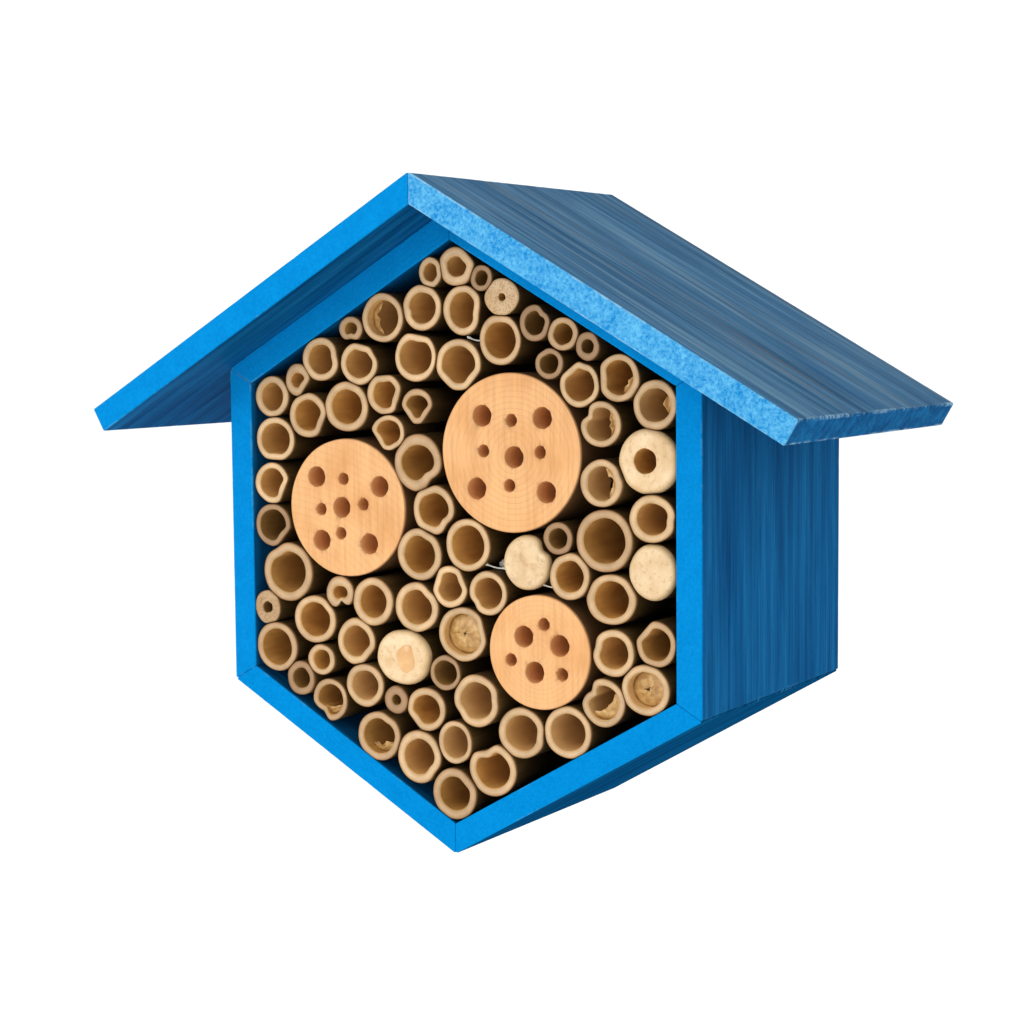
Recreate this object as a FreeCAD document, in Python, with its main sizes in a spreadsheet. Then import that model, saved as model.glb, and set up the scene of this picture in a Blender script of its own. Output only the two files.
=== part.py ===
"""Insect hotel: a hexagonal board box under a pitched roof, packed with bamboo canes and drilled logs.

Millimetres. +X is to the right seen from the front, +Y runs into the depth and +Z is up.
The origin is the centre of the back face, which lies against the wall: the box runs from
Y = 0 at the back to Y = -box_depth at its front edge, and the roof reaches further out.
"""
import FreeCAD, Part

import math
import os

import Sketcher

Vector = FreeCAD.Vector

# Every size that can be set by itself: alias, value, what it is.
SIZES = [
    ("across_flats", 204.0, "width of the hexagonal box over its upright boards"),
    ("wall_height", 123.0, "height of an upright board at its outer face"),
    ("slope_angle", 30.0, "degrees that the roof and the four sloping boards fall from level"),
    ("board_thickness", 10.0, "thickness of the six boards round the box"),
    ("box_depth", 128.0, "depth of the box from its front edge to its back face"),
    ("back_thickness", 10.0, "thickness of the back panel"),
    ("roof_length", 172.0, "length of a roof panel's upper face from ridge to eave"),
    ("roof_thickness", 10.0, "thickness of a roof panel"),
    ("roof_overhang", 27.0, "how far the roof reaches out in front of the box"),
    ("fill_recess", 0.5, "how far the ends of the canes and logs stand behind the front edge"),
    ("fill_clearance", 0.1, "least gap between neighbours in the filling"),
    ("large_drill", 8.0, "diameter of the large nesting holes in the logs"),
    ("small_drill", 4.8, "diameter of the small nesting holes in the logs"),
    ("log_floor", 17.5, "wood left in the logs behind the nesting holes"),
    ("hanger_rise", 50.0, "height of the keyhole's round entry above the box's centre"),
    ("hanger_width", 16.0, "width of the hanger plate"),
    ("hanger_thickness", 1.5, "thickness of the hanger plate"),
    ("hanger_fit", 0.2, "gap round the hanger plate in its recess"),
    ("hanger_margin", 13.0, "distance from each end of the keyhole to the screw beyond it"),
    ("keyhole_entry", 9.0, "diameter of the keyhole's round entry"),
    ("keyhole_slot", 4.5, "width of the keyhole's slot"),
    ("keyhole_travel", 8.0, "how far the slot runs above the entry"),
    ("head_space", 5.0, "depth of the hollow for a wall screw's head behind the hanger"),
    ("head_space_margin", 0.75, "how much wider than the entry the hollow is on each side"),
    ("screw_shank", 3.0, "diameter of a hanger screw's shank"),
    ("screw_head", 5.6, "diameter of a hanger screw's countersunk head"),
    ("brad_across", 1.2, "diameter of a brad"),
    ("frame_brad_length", 25.0, "length of the brads that hold the boards and the back panel"),
    ("tip_cover", 1.2, "wood left beyond the tip of a roof brad or a hanger screw"),
    ("brad_sink", 0.8, "how far the brads' heads are punched below the wood and filled over"),
    ("brad_setback", 22.0, "distance of the end brads from the front and back of the box"),
    ("roof_brad_first", 42.0, "distance of the upper roof brads from the ridge, down the slope"),
    ("roof_brad_second", 92.0, "distance of the lower roof brads from the ridge, down the slope"),
    ("glue_lap", 1.8, "how far a bead of glue laps onto the three neighbours round it"),
    ("glue_length", 7.0, "length of a bead of glue along the canes"),
    ("glue_setback", 5.0, "how far a front bead of glue stands behind the canes' front ends"),
    ("deep_glue_setback", 45.0, "the same for the beads deep between the canes"),
]

# Lengths that follow from the sizes above: alias, formula.
DERIVED = [
    ("half_width", "Sizes.across_flats / 2"),
    ("corner", "Sizes.wall_height / 2"),
    ("rise", "tan(Sizes.slope_angle * 1 deg)"),
    ("sine", "sin(Sizes.slope_angle * 1 deg)"),
    ("cosine", "cos(Sizes.slope_angle * 1 deg)"),
    ("apex", "corner + half_width * rise"),
    ("inner_half_width", "half_width - Sizes.board_thickness"),
    ("inner_apex", "apex - Sizes.board_thickness / cosine"),
    ("inner_corner", "inner_apex - inner_half_width * rise"),
    ("ridge", "apex + Sizes.roof_thickness / cosine"),
    ("eave_top_x", "Sizes.roof_length * cosine"),
    ("eave_top_z", "ridge - Sizes.roof_length * sine"),
    ("eave_foot_x", "eave_top_x - Sizes.roof_thickness * sine"),
    ("eave_foot_z", "eave_top_z - Sizes.roof_thickness * cosine"),
    ("roof_depth", "Sizes.box_depth + Sizes.roof_overhang"),
    ("fill_length", "Sizes.box_depth - Sizes.back_thickness - Sizes.fill_recess"),
    ("drill_depth", "fill_length - Sizes.log_floor"),
    ("roof_brad_length", "Sizes.roof_thickness + Sizes.board_thickness - Sizes.brad_sink - Sizes.tip_cover"),
    ("screw_length", "Sizes.back_thickness - Sizes.tip_cover"),
    ("keyhole_top", "Sizes.hanger_rise + Sizes.keyhole_travel"),
    ("low_screw_z", "Sizes.hanger_rise - Sizes.hanger_margin"),
    ("high_screw_z", "keyhole_top + Sizes.hanger_margin"),
]

# The filling is laid out in a cavity of this shape, and follows the real cavity if that changes.
LAYOUT_HALF_WIDTH = 92.0
LAYOUT_CORNER = 55.7
LAYOUT_SLOPE = 30.0

# Canes, row by row from the ridge down: x, z, diameter, bore (0 for a cane that is solid).
CANES = [
    (3.0, 99.0, 14.5, 8.0),
    (-9.0, 97.0, 10.5, 6.5),
    (13.5, 94.5, 9.5, 5.5),
    (22.0, 87.5, 14.0, 3.0),
    (-12.5, 84.0, 17.0, 12.0),
    (5.0, 83.0, 17.5, 12.0),
    (-30.0, 80.5, 18.5, 13.5),
    (-44.5, 76.5, 10.0, 5.5),
    (35.5, 78.0, 12.5, 8.5),
    (47.0, 74.0, 12.5, 8.0),
    (21.0, 72.0, 18.0, 13.0),
    (57.0, 69.5, 10.0, 5.0),
    (-15.5, 66.0, 18.5, 14.0),
    (-58.5, 65.0, 17.0, 11.5),
    (41.0, 63.5, 11.5, 7.5),
    (-41.0, 63.5, 16.5, 11.5),
    (3.0, 63.0, 19.0, 14.0),
    (69.5, 58.5, 17.0, 12.0),
    (-70.0, 57.0, 12.0, 6.0),
    (53.5, 56.0, 16.5, 12.0),
    (-29.5, 52.0, 15.5, 10.5),
    (-82.5, 50.5, 16.0, 10.5),
    (83.5, 49.0, 17.0, 12.0),
    (-15.5, 47.5, 13.5, 9.5),
    (-47.0, 47.0, 19.0, 13.5),
    (-65.5, 43.5, 17.5, 12.0),
    (62.0, 42.0, 16.5, 12.0),
    (-28.0, 37.5, 14.0, 10.0),
    (-81.0, 34.0, 18.0, 13.0),
    (80.5, 29.0, 23.0, 9.0),
    (-15.0, 26.5, 20.0, 14.0),
    (62.5, 21.0, 17.0, 12.0),
    (-83.0, 17.0, 16.0, 11.5),
    (-8.5, 9.0, 17.5, 12.5),
    (82.5, 9.0, 17.5, 12.0),
    (63.5, 0.5, 22.5, 16.5),
    (44.5, 0.5, 12.0, 7.5),
    (-83.0, 0.5, 16.0, 12.0),
    (6.5, -3.5, 19.5, 14.5),
    (-15.0, -8.0, 19.5, 14.0),
    (31.0, -9.0, 20.0, 0.0),
    (82.0, -10.0, 19.5, 0.0),
    (49.5, -13.0, 16.5, 11.5),
    (-76.0, -17.5, 22.5, 16.5),
    (-1.5, -19.5, 15.5, 11.0),
    (66.0, -20.5, 19.0, 13.5),
    (15.0, -21.0, 16.5, 12.0),
    (-51.5, -24.5, 13.0, 6.0),
    (-36.0, -27.0, 18.5, 12.5),
    (-16.5, -28.0, 19.0, 13.5),
    (-86.0, -32.0, 12.0, 4.5),
    (83.5, -35.5, 16.0, 11.5),
    (-63.5, -35.5, 19.0, 13.5),
    (3.5, -37.0, 20.5, 15.5),
    (67.0, -39.5, 17.0, 11.5),
    (-44.5, -43.0, 17.5, 12.0),
    (-23.0, -47.5, 22.5, 0.0),
    (-82.0, -47.5, 19.5, 14.5),
    (-60.5, -51.0, 12.5, 8.0),
    (-4.0, -52.0, 13.5, 10.0),
    (79.5, -52.0, 18.5, 13.5),
    (62.5, -58.0, 17.5, 12.5),
    (-70.5, -59.0, 13.0, 8.0),
    (-40.5, -59.5, 17.0, 11.5),
    (9.5, -61.5, 19.5, 14.0),
    (-26.0, -64.0, 10.5, 4.0),
    (-12.5, -66.5, 16.5, 11.5),
    (-57.0, -66.5, 16.0, 11.5),
    (48.0, -70.0, 19.0, 14.0),
    (28.5, -72.0, 19.0, 13.5),
    (0.0, -78.0, 15.5, 11.5),
    (-34.0, -78.5, 18.5, 13.5),
    (-16.0, -85.0, 20.0, 13.5),
    (16.0, -87.0, 20.0, 14.5),
    (-0.5, -97.5, 19.0, 13.0),
]

# A cane at least this thick has a node of its own. Thinner ones share a node with their neighbours.
STOUT_CANE = 17.5

# Thin canes are bundled by the sixth of the box they lie in, counted from straight up.
BUNDLES = [
    "thin_canes_ridge",
    "thin_canes_upper_right",
    "thin_canes_lower_right",
    "thin_canes_foot",
    "thin_canes_lower_left",
    "thin_canes_upper_left",
]

# Log blocks: centre and diameter, then the large and the small holes, measured from the centre.
LOGS = {
    "large_log": {
        "circle": (25.0, 31.0, 59.0),
        "large": [(-12.0, 13.5), (13.5, 13.0), (1.5, -1.5), (-14.5, -13.5), (15.0, -14.0)],
        "small": [(0.5, 12.0), (-11.5, 0.5), (12.5, 0.5), (-0.5, -12.0)],
    },
    "medium_log": {
        "circle": (-47.5, 8.5, 53.0),
        "large": [(-14.0, 11.5), (15.0, 8.5), (-2.5, 0.0), (-12.0, -13.0), (10.0, -13.5)],
        "small": [(-1.5, 11.0), (-12.0, -1.0), (7.5, 1.5), (-3.0, -10.0)],
    },
    "small_log": {
        "circle": (36.5, -41.5, 42.5),
        "large": [(-6.5, 5.5), (8.5, 3.0), (-2.0, -7.5)],
        "small": [(2.0, 10.5), (-12.0, -3.5), (9.5, -7.5)],
    },
}

# Beads of glue, each between three neighbours: cane numbers, or the name of a log.
FRONT_BEADS = [
    (6, 11, 17),
    (39, 41, 47),
    (41, 43, "small_log"),
]
DEEP_BEADS = [
    (7, 13, 16),
    (25, 26, "medium_log"),
    (18, 20, 27),
    (29, 33, "medium_log"),
    (35, 36, 42),
    (46, 52, 55),
    (44, 53, 51),
    (49, 50, 57),
    (54, 60, 65),
    (62, 69, "small_log"),
    (56, 59, 64),
    (67, 71, 73),
]

doc = FreeCAD.newDocument("insect_hotel")
nodes = []


def make_sheet(name, rows):
    """Add a spreadsheet with one row for each alias, and return it."""
    sheet = doc.addObject("Spreadsheet::Sheet", name)
    for number, (alias, content, note) in enumerate(rows, start=1):
        sheet.set("A%d" % number, alias)
        sheet.set("B%d" % number, content)
        sheet.set("C%d" % number, note)
        sheet.setAlias("B%d" % number, alias)
    doc.recompute()
    return sheet


make_sheet("Sizes", [(alias, str(amount), note) for alias, amount, note in SIZES])
derived = make_sheet("Derived", [(alias, "=" + formula, formula) for alias, formula in DERIVED])


def value(formula):
    """The present value of a formula of the two sheets."""
    return float(derived.evalExpression(formula))


def bind(obj, **formulas):
    """Tie properties of an object to formulas."""
    for name, formula in formulas.items():
        obj.setExpression(name, formula)
    return obj


def place(obj, x, y, z, axis=Vector(0, 1, 0), angle="0"):
    """Tie an object's position, and its turn about one axis in degrees, to formulas."""
    obj.Placement = FreeCAD.Placement(Vector(), FreeCAD.Rotation(axis, value(angle)))
    obj.setExpression("Placement.Base.x", x)
    obj.setExpression("Placement.Base.y", y)
    obj.setExpression("Placement.Base.z", z)
    obj.setExpression("Placement.Rotation.Angle", angle)
    return obj


def node(obj, label):
    """Name an object as one of the pieces that are written out."""
    obj.Label = label
    nodes.append(obj)
    return obj


def polygon_sketch(body, name, outline):
    """A closed outline in the XZ plane whose corners are tied to formulas."""
    sketch = body.newObject("Sketcher::SketchObject", name)
    plane = [feature for feature in body.Origin.OriginFeatures if feature.Role == "XZ_Plane"][0]
    sketch.AttachmentSupport = (plane, "")
    sketch.MapMode = "FlatFace"
    points = [Vector(value(x), value(z), 0) for x, z in outline]
    count = len(points)
    for index in range(count):
        sketch.addGeometry(Part.LineSegment(points[index], points[(index + 1) % count]))
    for index in range(count):
        sketch.addConstraint(Sketcher.Constraint("Coincident", index, 2, (index + 1) % count, 1))
    for index, (x, z) in enumerate(outline):
        for kind, formula, start in (("DistanceX", x, points[index].x), ("DistanceY", z, points[index].y)):
            number = sketch.addConstraint(Sketcher.Constraint(kind, -1, 1, index, 1, start))
            sketch.setExpression("Constraints[%d]" % number, formula)
    return sketch


def board(name, outline, length):
    """A body: an outline at the back face, padded forwards by a length."""
    body = doc.addObject("PartDesign::Body", name)
    sketch = polygon_sketch(body, name + "_outline", outline)
    pad = body.newObject("PartDesign::Pad", name + "_pad")
    pad.Profile = sketch
    pad.setExpression("Length", length)
    return body


def mirrored(outline, side, level):
    """An outline drawn for the upper right, turned to another quarter by the two signs."""
    signs = {1: "", -1: "-"}
    return [(signs[side] + "(%s)" % x, signs[level] + "(%s)" % z) for x, z in outline]


def rod(name, radius, length, x, y, z, axis=Vector(1, 0, 0), angle="90"):
    """A cylinder, which runs forwards from its position unless another turn is given."""
    cylinder = doc.addObject("Part::Cylinder", name)
    bind(cylinder, Radius=radius, Height=length)
    return place(cylinder, x, y, z, axis, angle)


def compound(name, pieces):
    """Separate solids held in one object."""
    group = doc.addObject("Part::Compound", name)
    group.Links = pieces
    return group


def cut(name, base, tools):
    """A solid with all of the tools taken away from it."""
    result = doc.addObject("Part::Cut", name)
    result.Base = base
    result.Tool = tools[0] if len(tools) == 1 else compound(name + "_tools", tools)
    return result


def stadium(name, across, low_z, high_z, y, depth):
    """An upright bar with round ends, which runs forwards by depth from the plane at y."""
    middle = doc.addObject("Part::Box", name + "_middle")
    bind(middle, Length=across, Width=depth, Height="%s - (%s)" % (high_z, low_z))
    place(middle, "-(%s) / 2" % across, "%s - (%s)" % (y, depth), low_z)
    low_end = rod(name + "_low_end", "(%s) / 2" % across, depth, "0", y, low_z)
    high_end = rod(name + "_high_end", "(%s) / 2" % across, depth, "0", y, high_z)
    bar = doc.addObject("Part::MultiFuse", name)
    bar.Shapes = [middle, low_end, high_end]
    return bar


# ---- brads ----

def brad(name, x, z, y, angle, length):
    """A brad driven in at (x, z) and punched under. The angle turns it from straight up towards +X."""
    sunk_x = "%s + Sizes.brad_sink * sin((%s) * 1 deg)" % (x, angle)
    sunk_z = "%s + Sizes.brad_sink * cos((%s) * 1 deg)" % (z, angle)
    return rod(name, "Sizes.brad_across / 2", length, sunk_x, y, sunk_z, Vector(0, 1, 0), angle)


FRONT_BRADS = "-(Sizes.box_depth - Sizes.brad_setback)"
BACK_BRADS = "-Sizes.brad_setback"
PANEL_BRADS = "-Sizes.back_thickness / 2"


def make_frame_brads():
    """Two brads through each mitred corner, and one through each board into the back panel."""
    corner_x = "(Derived.half_width - Sizes.board_thickness / 2)"
    corner_z = "(Derived.corner + Sizes.board_thickness / 2 * Derived.rise)"
    apex_x = "-Sizes.board_thickness / (4 * Derived.sine)"
    apex_z = "(Derived.apex - Sizes.board_thickness / (4 * Derived.cosine))"
    slant_x = "(Derived.half_width / 2)"
    slant_z = "((Derived.corner + Derived.apex) / 2)"
    joints = [
        (corner_x, corner_z, "180"),
        ("-" + corner_x, corner_z, "180"),
        (corner_x, "-" + corner_z, "0"),
        ("-" + corner_x, "-" + corner_z, "0"),
        (apex_x, apex_z, "90 + Sizes.slope_angle"),
        (apex_x, "-" + apex_z, "90 - Sizes.slope_angle"),
    ]
    edges = [
        ("Derived.half_width", "0", "-90"),
        ("-Derived.half_width", "0", "90"),
        (slant_x, slant_z, "180 + Sizes.slope_angle"),
        ("-" + slant_x, slant_z, "180 - Sizes.slope_angle"),
        (slant_x, "-" + slant_z, "-Sizes.slope_angle"),
        ("-" + slant_x, "-" + slant_z, "Sizes.slope_angle"),
    ]
    stations = [(joint, y) for joint in joints for y in (FRONT_BRADS, BACK_BRADS)]
    stations += [(edge, PANEL_BRADS) for edge in edges]
    return [
        brad("frame_brad_%d" % number, x, z, y, angle, "Sizes.frame_brad_length")
        for number, ((x, z, angle), y) in enumerate(stations, start=1)
    ]


def make_roof_brads():
    """Four brads through each roof panel into the sloping board beneath it."""
    brads = []
    for side, turn in (("", "180 + Sizes.slope_angle"), ("-", "180 - Sizes.slope_angle")):
        for down in ("Sizes.roof_brad_first", "Sizes.roof_brad_second"):
            for y in (FRONT_BRADS, BACK_BRADS):
                x = "%s(%s * Derived.cosine)" % (side, down)
                z = "Derived.ridge - %s * Derived.sine" % down
                name = "roof_brad_%d" % (len(brads) + 1)
                brads.append(brad(name, x, z, y, turn, "Derived.roof_brad_length"))
    return brads


frame_brads = node(compound("frame_brads", make_frame_brads()), "frame_brads")
roof_brads = node(compound("roof_brads", make_roof_brads()), "roof_brads")


# ---- the six boards of the box, and the roof ----

UPRIGHT = [
    ("Derived.half_width", "Derived.corner"),
    ("Derived.half_width", "-Derived.corner"),
    ("Derived.inner_half_width", "-Derived.inner_corner"),
    ("Derived.inner_half_width", "Derived.inner_corner"),
]
SLANT = [
    ("0", "Derived.apex"),
    ("Derived.half_width", "Derived.corner"),
    ("Derived.inner_half_width", "Derived.inner_corner"),
    ("0", "Derived.inner_apex"),
]
ROOF = [
    ("0", "Derived.ridge"),
    ("Derived.eave_top_x", "Derived.eave_top_z"),
    ("Derived.eave_foot_x", "Derived.eave_foot_z"),
    ("0", "Derived.apex"),
]
BOARDS = [
    ("left_wall", mirrored(UPRIGHT, -1, 1), "Sizes.box_depth", [frame_brads]),
    ("right_wall", mirrored(UPRIGHT, 1, 1), "Sizes.box_depth", [frame_brads]),
    ("upper_left_wall", mirrored(SLANT, -1, 1), "Sizes.box_depth", [frame_brads, roof_brads]),
    ("upper_right_wall", mirrored(SLANT, 1, 1), "Sizes.box_depth", [frame_brads, roof_brads]),
    ("lower_left_wall", mirrored(SLANT, -1, -1), "Sizes.box_depth", [frame_brads]),
    ("lower_right_wall", mirrored(SLANT, 1, -1), "Sizes.box_depth", [frame_brads]),
    ("left_roof_panel", mirrored(ROOF, -1, 1), "Derived.roof_depth", [roof_brads]),
    ("right_roof_panel", mirrored(ROOF, 1, 1), "Derived.roof_depth", [roof_brads]),
]

for label, outline, length, fasteners in BOARDS:
    blank = board(label + "_blank", outline, length)
    node(cut(label + "_drilled", blank, fasteners), label)


# ---- hanger, its screws and the back panel ----

def screw(name, z):
    """A countersunk screw driven forwards from the back face."""
    head = doc.addObject("Part::Cone", name + "_head")
    bind(head, Radius1="Sizes.screw_head / 2", Radius2="Sizes.screw_shank / 2")
    bind(head, Height="Sizes.hanger_thickness")
    place(head, "0", "0", z, Vector(1, 0, 0), "90")
    shank = rod(name + "_shank", "Sizes.screw_shank / 2", "Derived.screw_length", "0", "0", z)
    whole = doc.addObject("Part::MultiFuse", name)
    whole.Shapes = [head, shank]
    return whole


low_screw = screw("low_screw", "Derived.low_screw_z")
high_screw = screw("high_screw", "Derived.high_screw_z")
hanger_screws = node(compound("hanger_screws", [low_screw, high_screw]), "hanger_screws")

plate_blank = stadium(
    "plate_blank", "Sizes.hanger_width", "Derived.low_screw_z", "Derived.high_screw_z",
    "0", "Sizes.hanger_thickness")
entry = rod("keyhole_entry", "Sizes.keyhole_entry / 2", "Sizes.hanger_thickness",
            "0", "0", "Sizes.hanger_rise")
slot = stadium(
    "keyhole_slot", "Sizes.keyhole_slot", "Sizes.hanger_rise", "Derived.keyhole_top",
    "0", "Sizes.hanger_thickness")
node(cut("hanger_plate_cut", plate_blank, [entry, slot, hanger_screws]), "hanger_plate")

recess = stadium(
    "hanger_recess", "(Sizes.hanger_width + 2 * Sizes.hanger_fit)",
    "Derived.low_screw_z", "Derived.high_screw_z", "0", "Sizes.hanger_thickness")
head_space = stadium(
    "hanger_head_space", "(Sizes.keyhole_entry + 2 * Sizes.head_space_margin)",
    "Sizes.hanger_rise", "Derived.keyhole_top", "0", "(Sizes.hanger_thickness + Sizes.head_space)")

BACK = [
    ("0", "Derived.inner_apex"),
    ("Derived.inner_half_width", "Derived.inner_corner"),
    ("Derived.inner_half_width", "-Derived.inner_corner"),
    ("0", "-Derived.inner_apex"),
    ("-Derived.inner_half_width", "-Derived.inner_corner"),
    ("-Derived.inner_half_width", "Derived.inner_corner"),
]
back_blank = board("back_blank", BACK, "Sizes.back_thickness")
back_tools = [recess, head_space, hanger_screws, frame_brads]
node(cut("back_panel_cut", back_blank, back_tools), "back_panel")


# ---- the filling ----

def layout_reach(x):
    """Half the height of the layout's cavity at a distance x from its middle."""
    return LAYOUT_CORNER + (LAYOUT_HALF_WIDTH - abs(x)) * math.tan(math.radians(LAYOUT_SLOPE))


def cavity_reach(x):
    """Half the height of the real cavity at a distance x from its middle."""
    return value("Derived.inner_apex") - abs(x) * value("Derived.rise")


def carried(x, z, diameter):
    """A circle of the layout, carried over to the real cavity."""
    widening = value("Derived.inner_half_width") / LAYOUT_HALF_WIDTH
    heightening = cavity_reach(x * widening) / layout_reach(x)
    return [x * widening, z * heightening, diameter / 2 * math.sqrt(widening * heightening)]


def room_to_boards(x, z):
    """Distance from a point to the nearest board of the box."""
    to_slope = (cavity_reach(x) - abs(z)) * value("Derived.cosine")
    return min(to_slope, value("Derived.inner_half_width") - abs(x))


def fitted(circles):
    """Trim the circles so that none touches a board, and each pair shares the way between them."""
    clearance = value("Sizes.fill_clearance")
    radii = {}
    for name, (x, z, radius) in circles.items():
        room = [radius, room_to_boards(x, z) - clearance]
        for other, (other_x, other_z, other_radius) in circles.items():
            if other != name:
                apart = math.hypot(other_x - x, other_z - z) - clearance
                room.append(apart * radius / (radius + other_radius))
        radii[name] = min(room)
    return {name: (x, z, radii[name]) for name, (x, z, radius) in circles.items()}


filling = {log: carried(*entry["circle"]) for log, entry in LOGS.items()}
for number, (x, z, diameter, bore) in enumerate(CANES, start=1):
    filling[number] = carried(x, z, diameter)
filling = fitted(filling)


def number_name(key):
    """The stem of a filling piece's names in the sheet and the document."""
    return key if isinstance(key, str) else "cane_%02d" % key


fill_rows = []
for key, (x, z, radius) in filling.items():
    stem = number_name(key)
    fill_rows.append((stem + "_x", "%.3f" % x, "centre, from the middle of the box"))
    fill_rows.append((stem + "_z", "%.3f" % z, "centre, above the middle of the box"))
    fill_rows.append((stem + "_radius", "%.3f" % radius, "outer radius"))
    if not isinstance(key, str) and CANES[key - 1][3] > 0:
        diameter, bore = CANES[key - 1][2:]
        fill_rows.append((stem + "_bore", "%.3f" % (radius * bore / diameter), "radius of the bore"))
make_sheet("Filling", fill_rows)

REAR = "-Sizes.back_thickness"
outsides = {}


def fill_rod(name, stem, radius):
    """A rod of the filling, from the back panel to just behind the front edge."""
    x = "Filling.%s_x" % stem
    z = "Filling.%s_z" % stem
    return rod(name, radius, "Derived.fill_length", x, REAR, z)


def make_cane(number):
    """One cane: a tube, or a solid rod where the cane has no bore."""
    stem = number_name(number)
    outside = fill_rod(stem + "_outside", stem, "Filling.%s_radius" % stem)
    outsides[number] = outside
    if CANES[number - 1][3] == 0:
        return outside
    bore = fill_rod(stem + "_hollow", stem, "Filling.%s_bore" % stem)
    return cut(stem + "_tube", outside, [bore])


def make_log(label, entry):
    """One log block with its blind nesting holes, drilled from the front."""
    outside = fill_rod(label + "_outside", label, "Filling.%s_radius" % label)
    outsides[label] = outside
    share = filling[label][2] / (entry["circle"][2] / 2)
    floor = "-(Sizes.back_thickness + Sizes.log_floor)"
    drills = []
    for kind in ("large", "small"):
        for dx, dz in entry[kind]:
            name = "%s_%s_drill_%d" % (label, kind, len(drills) + 1)
            x = "Filling.%s_x + %.3f" % (label, dx * share)
            z = "Filling.%s_z + %.3f" % (label, dz * share)
            drills.append(rod(name, "Sizes.%s_drill / 2" % kind, "Derived.drill_depth", x, floor, z))
    return cut(label + "_drilled", outside, drills)


def bundle_of(x, z):
    """The bundle that a thin cane at (x, z) belongs to."""
    bearing = math.degrees(math.atan2(x, z)) % 360
    return BUNDLES[int((bearing + 30) // 60) % len(BUNDLES)]


for label, entry in LOGS.items():
    node(make_log(label, entry), label)

bundles = {label: [] for label in BUNDLES}
for number, (x, z, diameter, bore) in enumerate(CANES, start=1):
    cane = make_cane(number)
    if diameter >= STOUT_CANE:
        node(cane, number_name(number))
    else:
        bundles[bundle_of(x, z)].append(cane)
for label, canes in bundles.items():
    node(compound(label + "_group", canes), label)


# ---- glue between the canes ----

def meeting_point(keys):
    """The middle of the gap between three neighbours: the mean of their three nearest points."""
    total = Vector()
    for first, second in ((0, 1), (1, 2), (2, 0)):
        x1, z1, radius1 = filling[keys[first]]
        x2, z2, radius2 = filling[keys[second]]
        share = radius1 / (radius1 + radius2)
        total += Vector(x1 + (x2 - x1) * share, 0, z1 + (z2 - z1) * share)
    return total / 3


def make_bead(number, keys, setback):
    """A short plug of glue that fills the gap between three neighbours, set back from their ends."""
    centre = meeting_point(keys)
    gaps = {key: math.hypot(x - centre.x, z - centre.z) - radius for key, (x, z, radius) in filling.items()}
    reach = max(gaps[key] for key in keys) + value("Sizes.glue_lap")
    y = "-(Sizes.box_depth - Sizes.fill_recess - Sizes.%s - Sizes.glue_length)" % setback
    plug = rod("glue_plug_%d" % number, "%.3f" % reach, "Sizes.glue_length",
               "%.3f" % centre.x, y, "%.3f" % centre.z)
    near = [outside for key, outside in outsides.items() if gaps[key] < reach]
    return cut("glue_bead_%d" % number, plug, near)


placed = [(keys, "glue_setback") for keys in FRONT_BEADS] + [(keys, "deep_glue_setback") for keys in DEEP_BEADS]
beads = [make_bead(number, *bead) for number, bead in enumerate(placed, start=1)]
node(compound("glue_beads_group", beads), "glue_beads")


# ---- check everything, then write each piece ----

doc.recompute()
for obj in doc.Objects:
    if "Invalid" in obj.State or "Error" in obj.State:
        raise RuntimeError("%s is %s" % (obj.Label, obj.State))
for piece in nodes:
    if piece.Shape.isNull() or not piece.Shape.isValid() or not piece.Shape.Solids:
        raise RuntimeError("%s has no valid shape" % piece.Label)

os.makedirs("parts", exist_ok=True)
for piece in nodes:
    piece.Shape.exportStep("parts/%s.step" % piece.Label)
print("%d nodes, %d solids" % (len(nodes), sum(len(piece.Shape.Solids) for piece in nodes)))
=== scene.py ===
"""Looks of a wall-hung insect hotel: a blue hexagonal box with a gable roof, full of canes and drilled logs.

The frame's lengths are metres. The tables and the shaping code below work in millimetres, and every mesh is
scaled once, where it is made. Angles of an outline run anticlockwise from +X, seen from the front.
"""
import math
import random
from collections import Counter, defaultdict

import bmesh
import bpy
import numpy as np
from mathutils import Matrix, Vector, geometry, noise


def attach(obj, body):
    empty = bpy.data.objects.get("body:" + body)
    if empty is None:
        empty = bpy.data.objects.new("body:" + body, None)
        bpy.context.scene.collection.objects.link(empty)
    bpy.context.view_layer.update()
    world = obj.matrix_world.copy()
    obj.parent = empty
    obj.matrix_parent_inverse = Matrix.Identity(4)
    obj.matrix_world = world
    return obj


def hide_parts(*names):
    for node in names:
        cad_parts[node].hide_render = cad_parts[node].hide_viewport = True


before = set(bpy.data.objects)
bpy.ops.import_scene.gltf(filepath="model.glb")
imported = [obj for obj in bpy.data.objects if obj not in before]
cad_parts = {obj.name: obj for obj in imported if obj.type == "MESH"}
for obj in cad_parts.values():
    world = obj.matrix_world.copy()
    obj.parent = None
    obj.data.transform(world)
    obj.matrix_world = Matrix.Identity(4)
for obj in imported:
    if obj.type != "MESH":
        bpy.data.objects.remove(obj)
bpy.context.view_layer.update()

MM = 0.001


def srgb(*screen):
    """A linear colour from the 0-255 numbers of a screen colour."""
    linear = [((c / 255 + 0.055) / 1.055) ** 2.4 if c > 10 else c / 255 / 12.92 for c in screen]
    return (*linear, 1.0)


# ---- what the canes look like ----
# Finishes are (brightness of the cut end, redness, brightness of the bore), in coarse steps, as judged.
# A cane that isn't named is plain.

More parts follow.
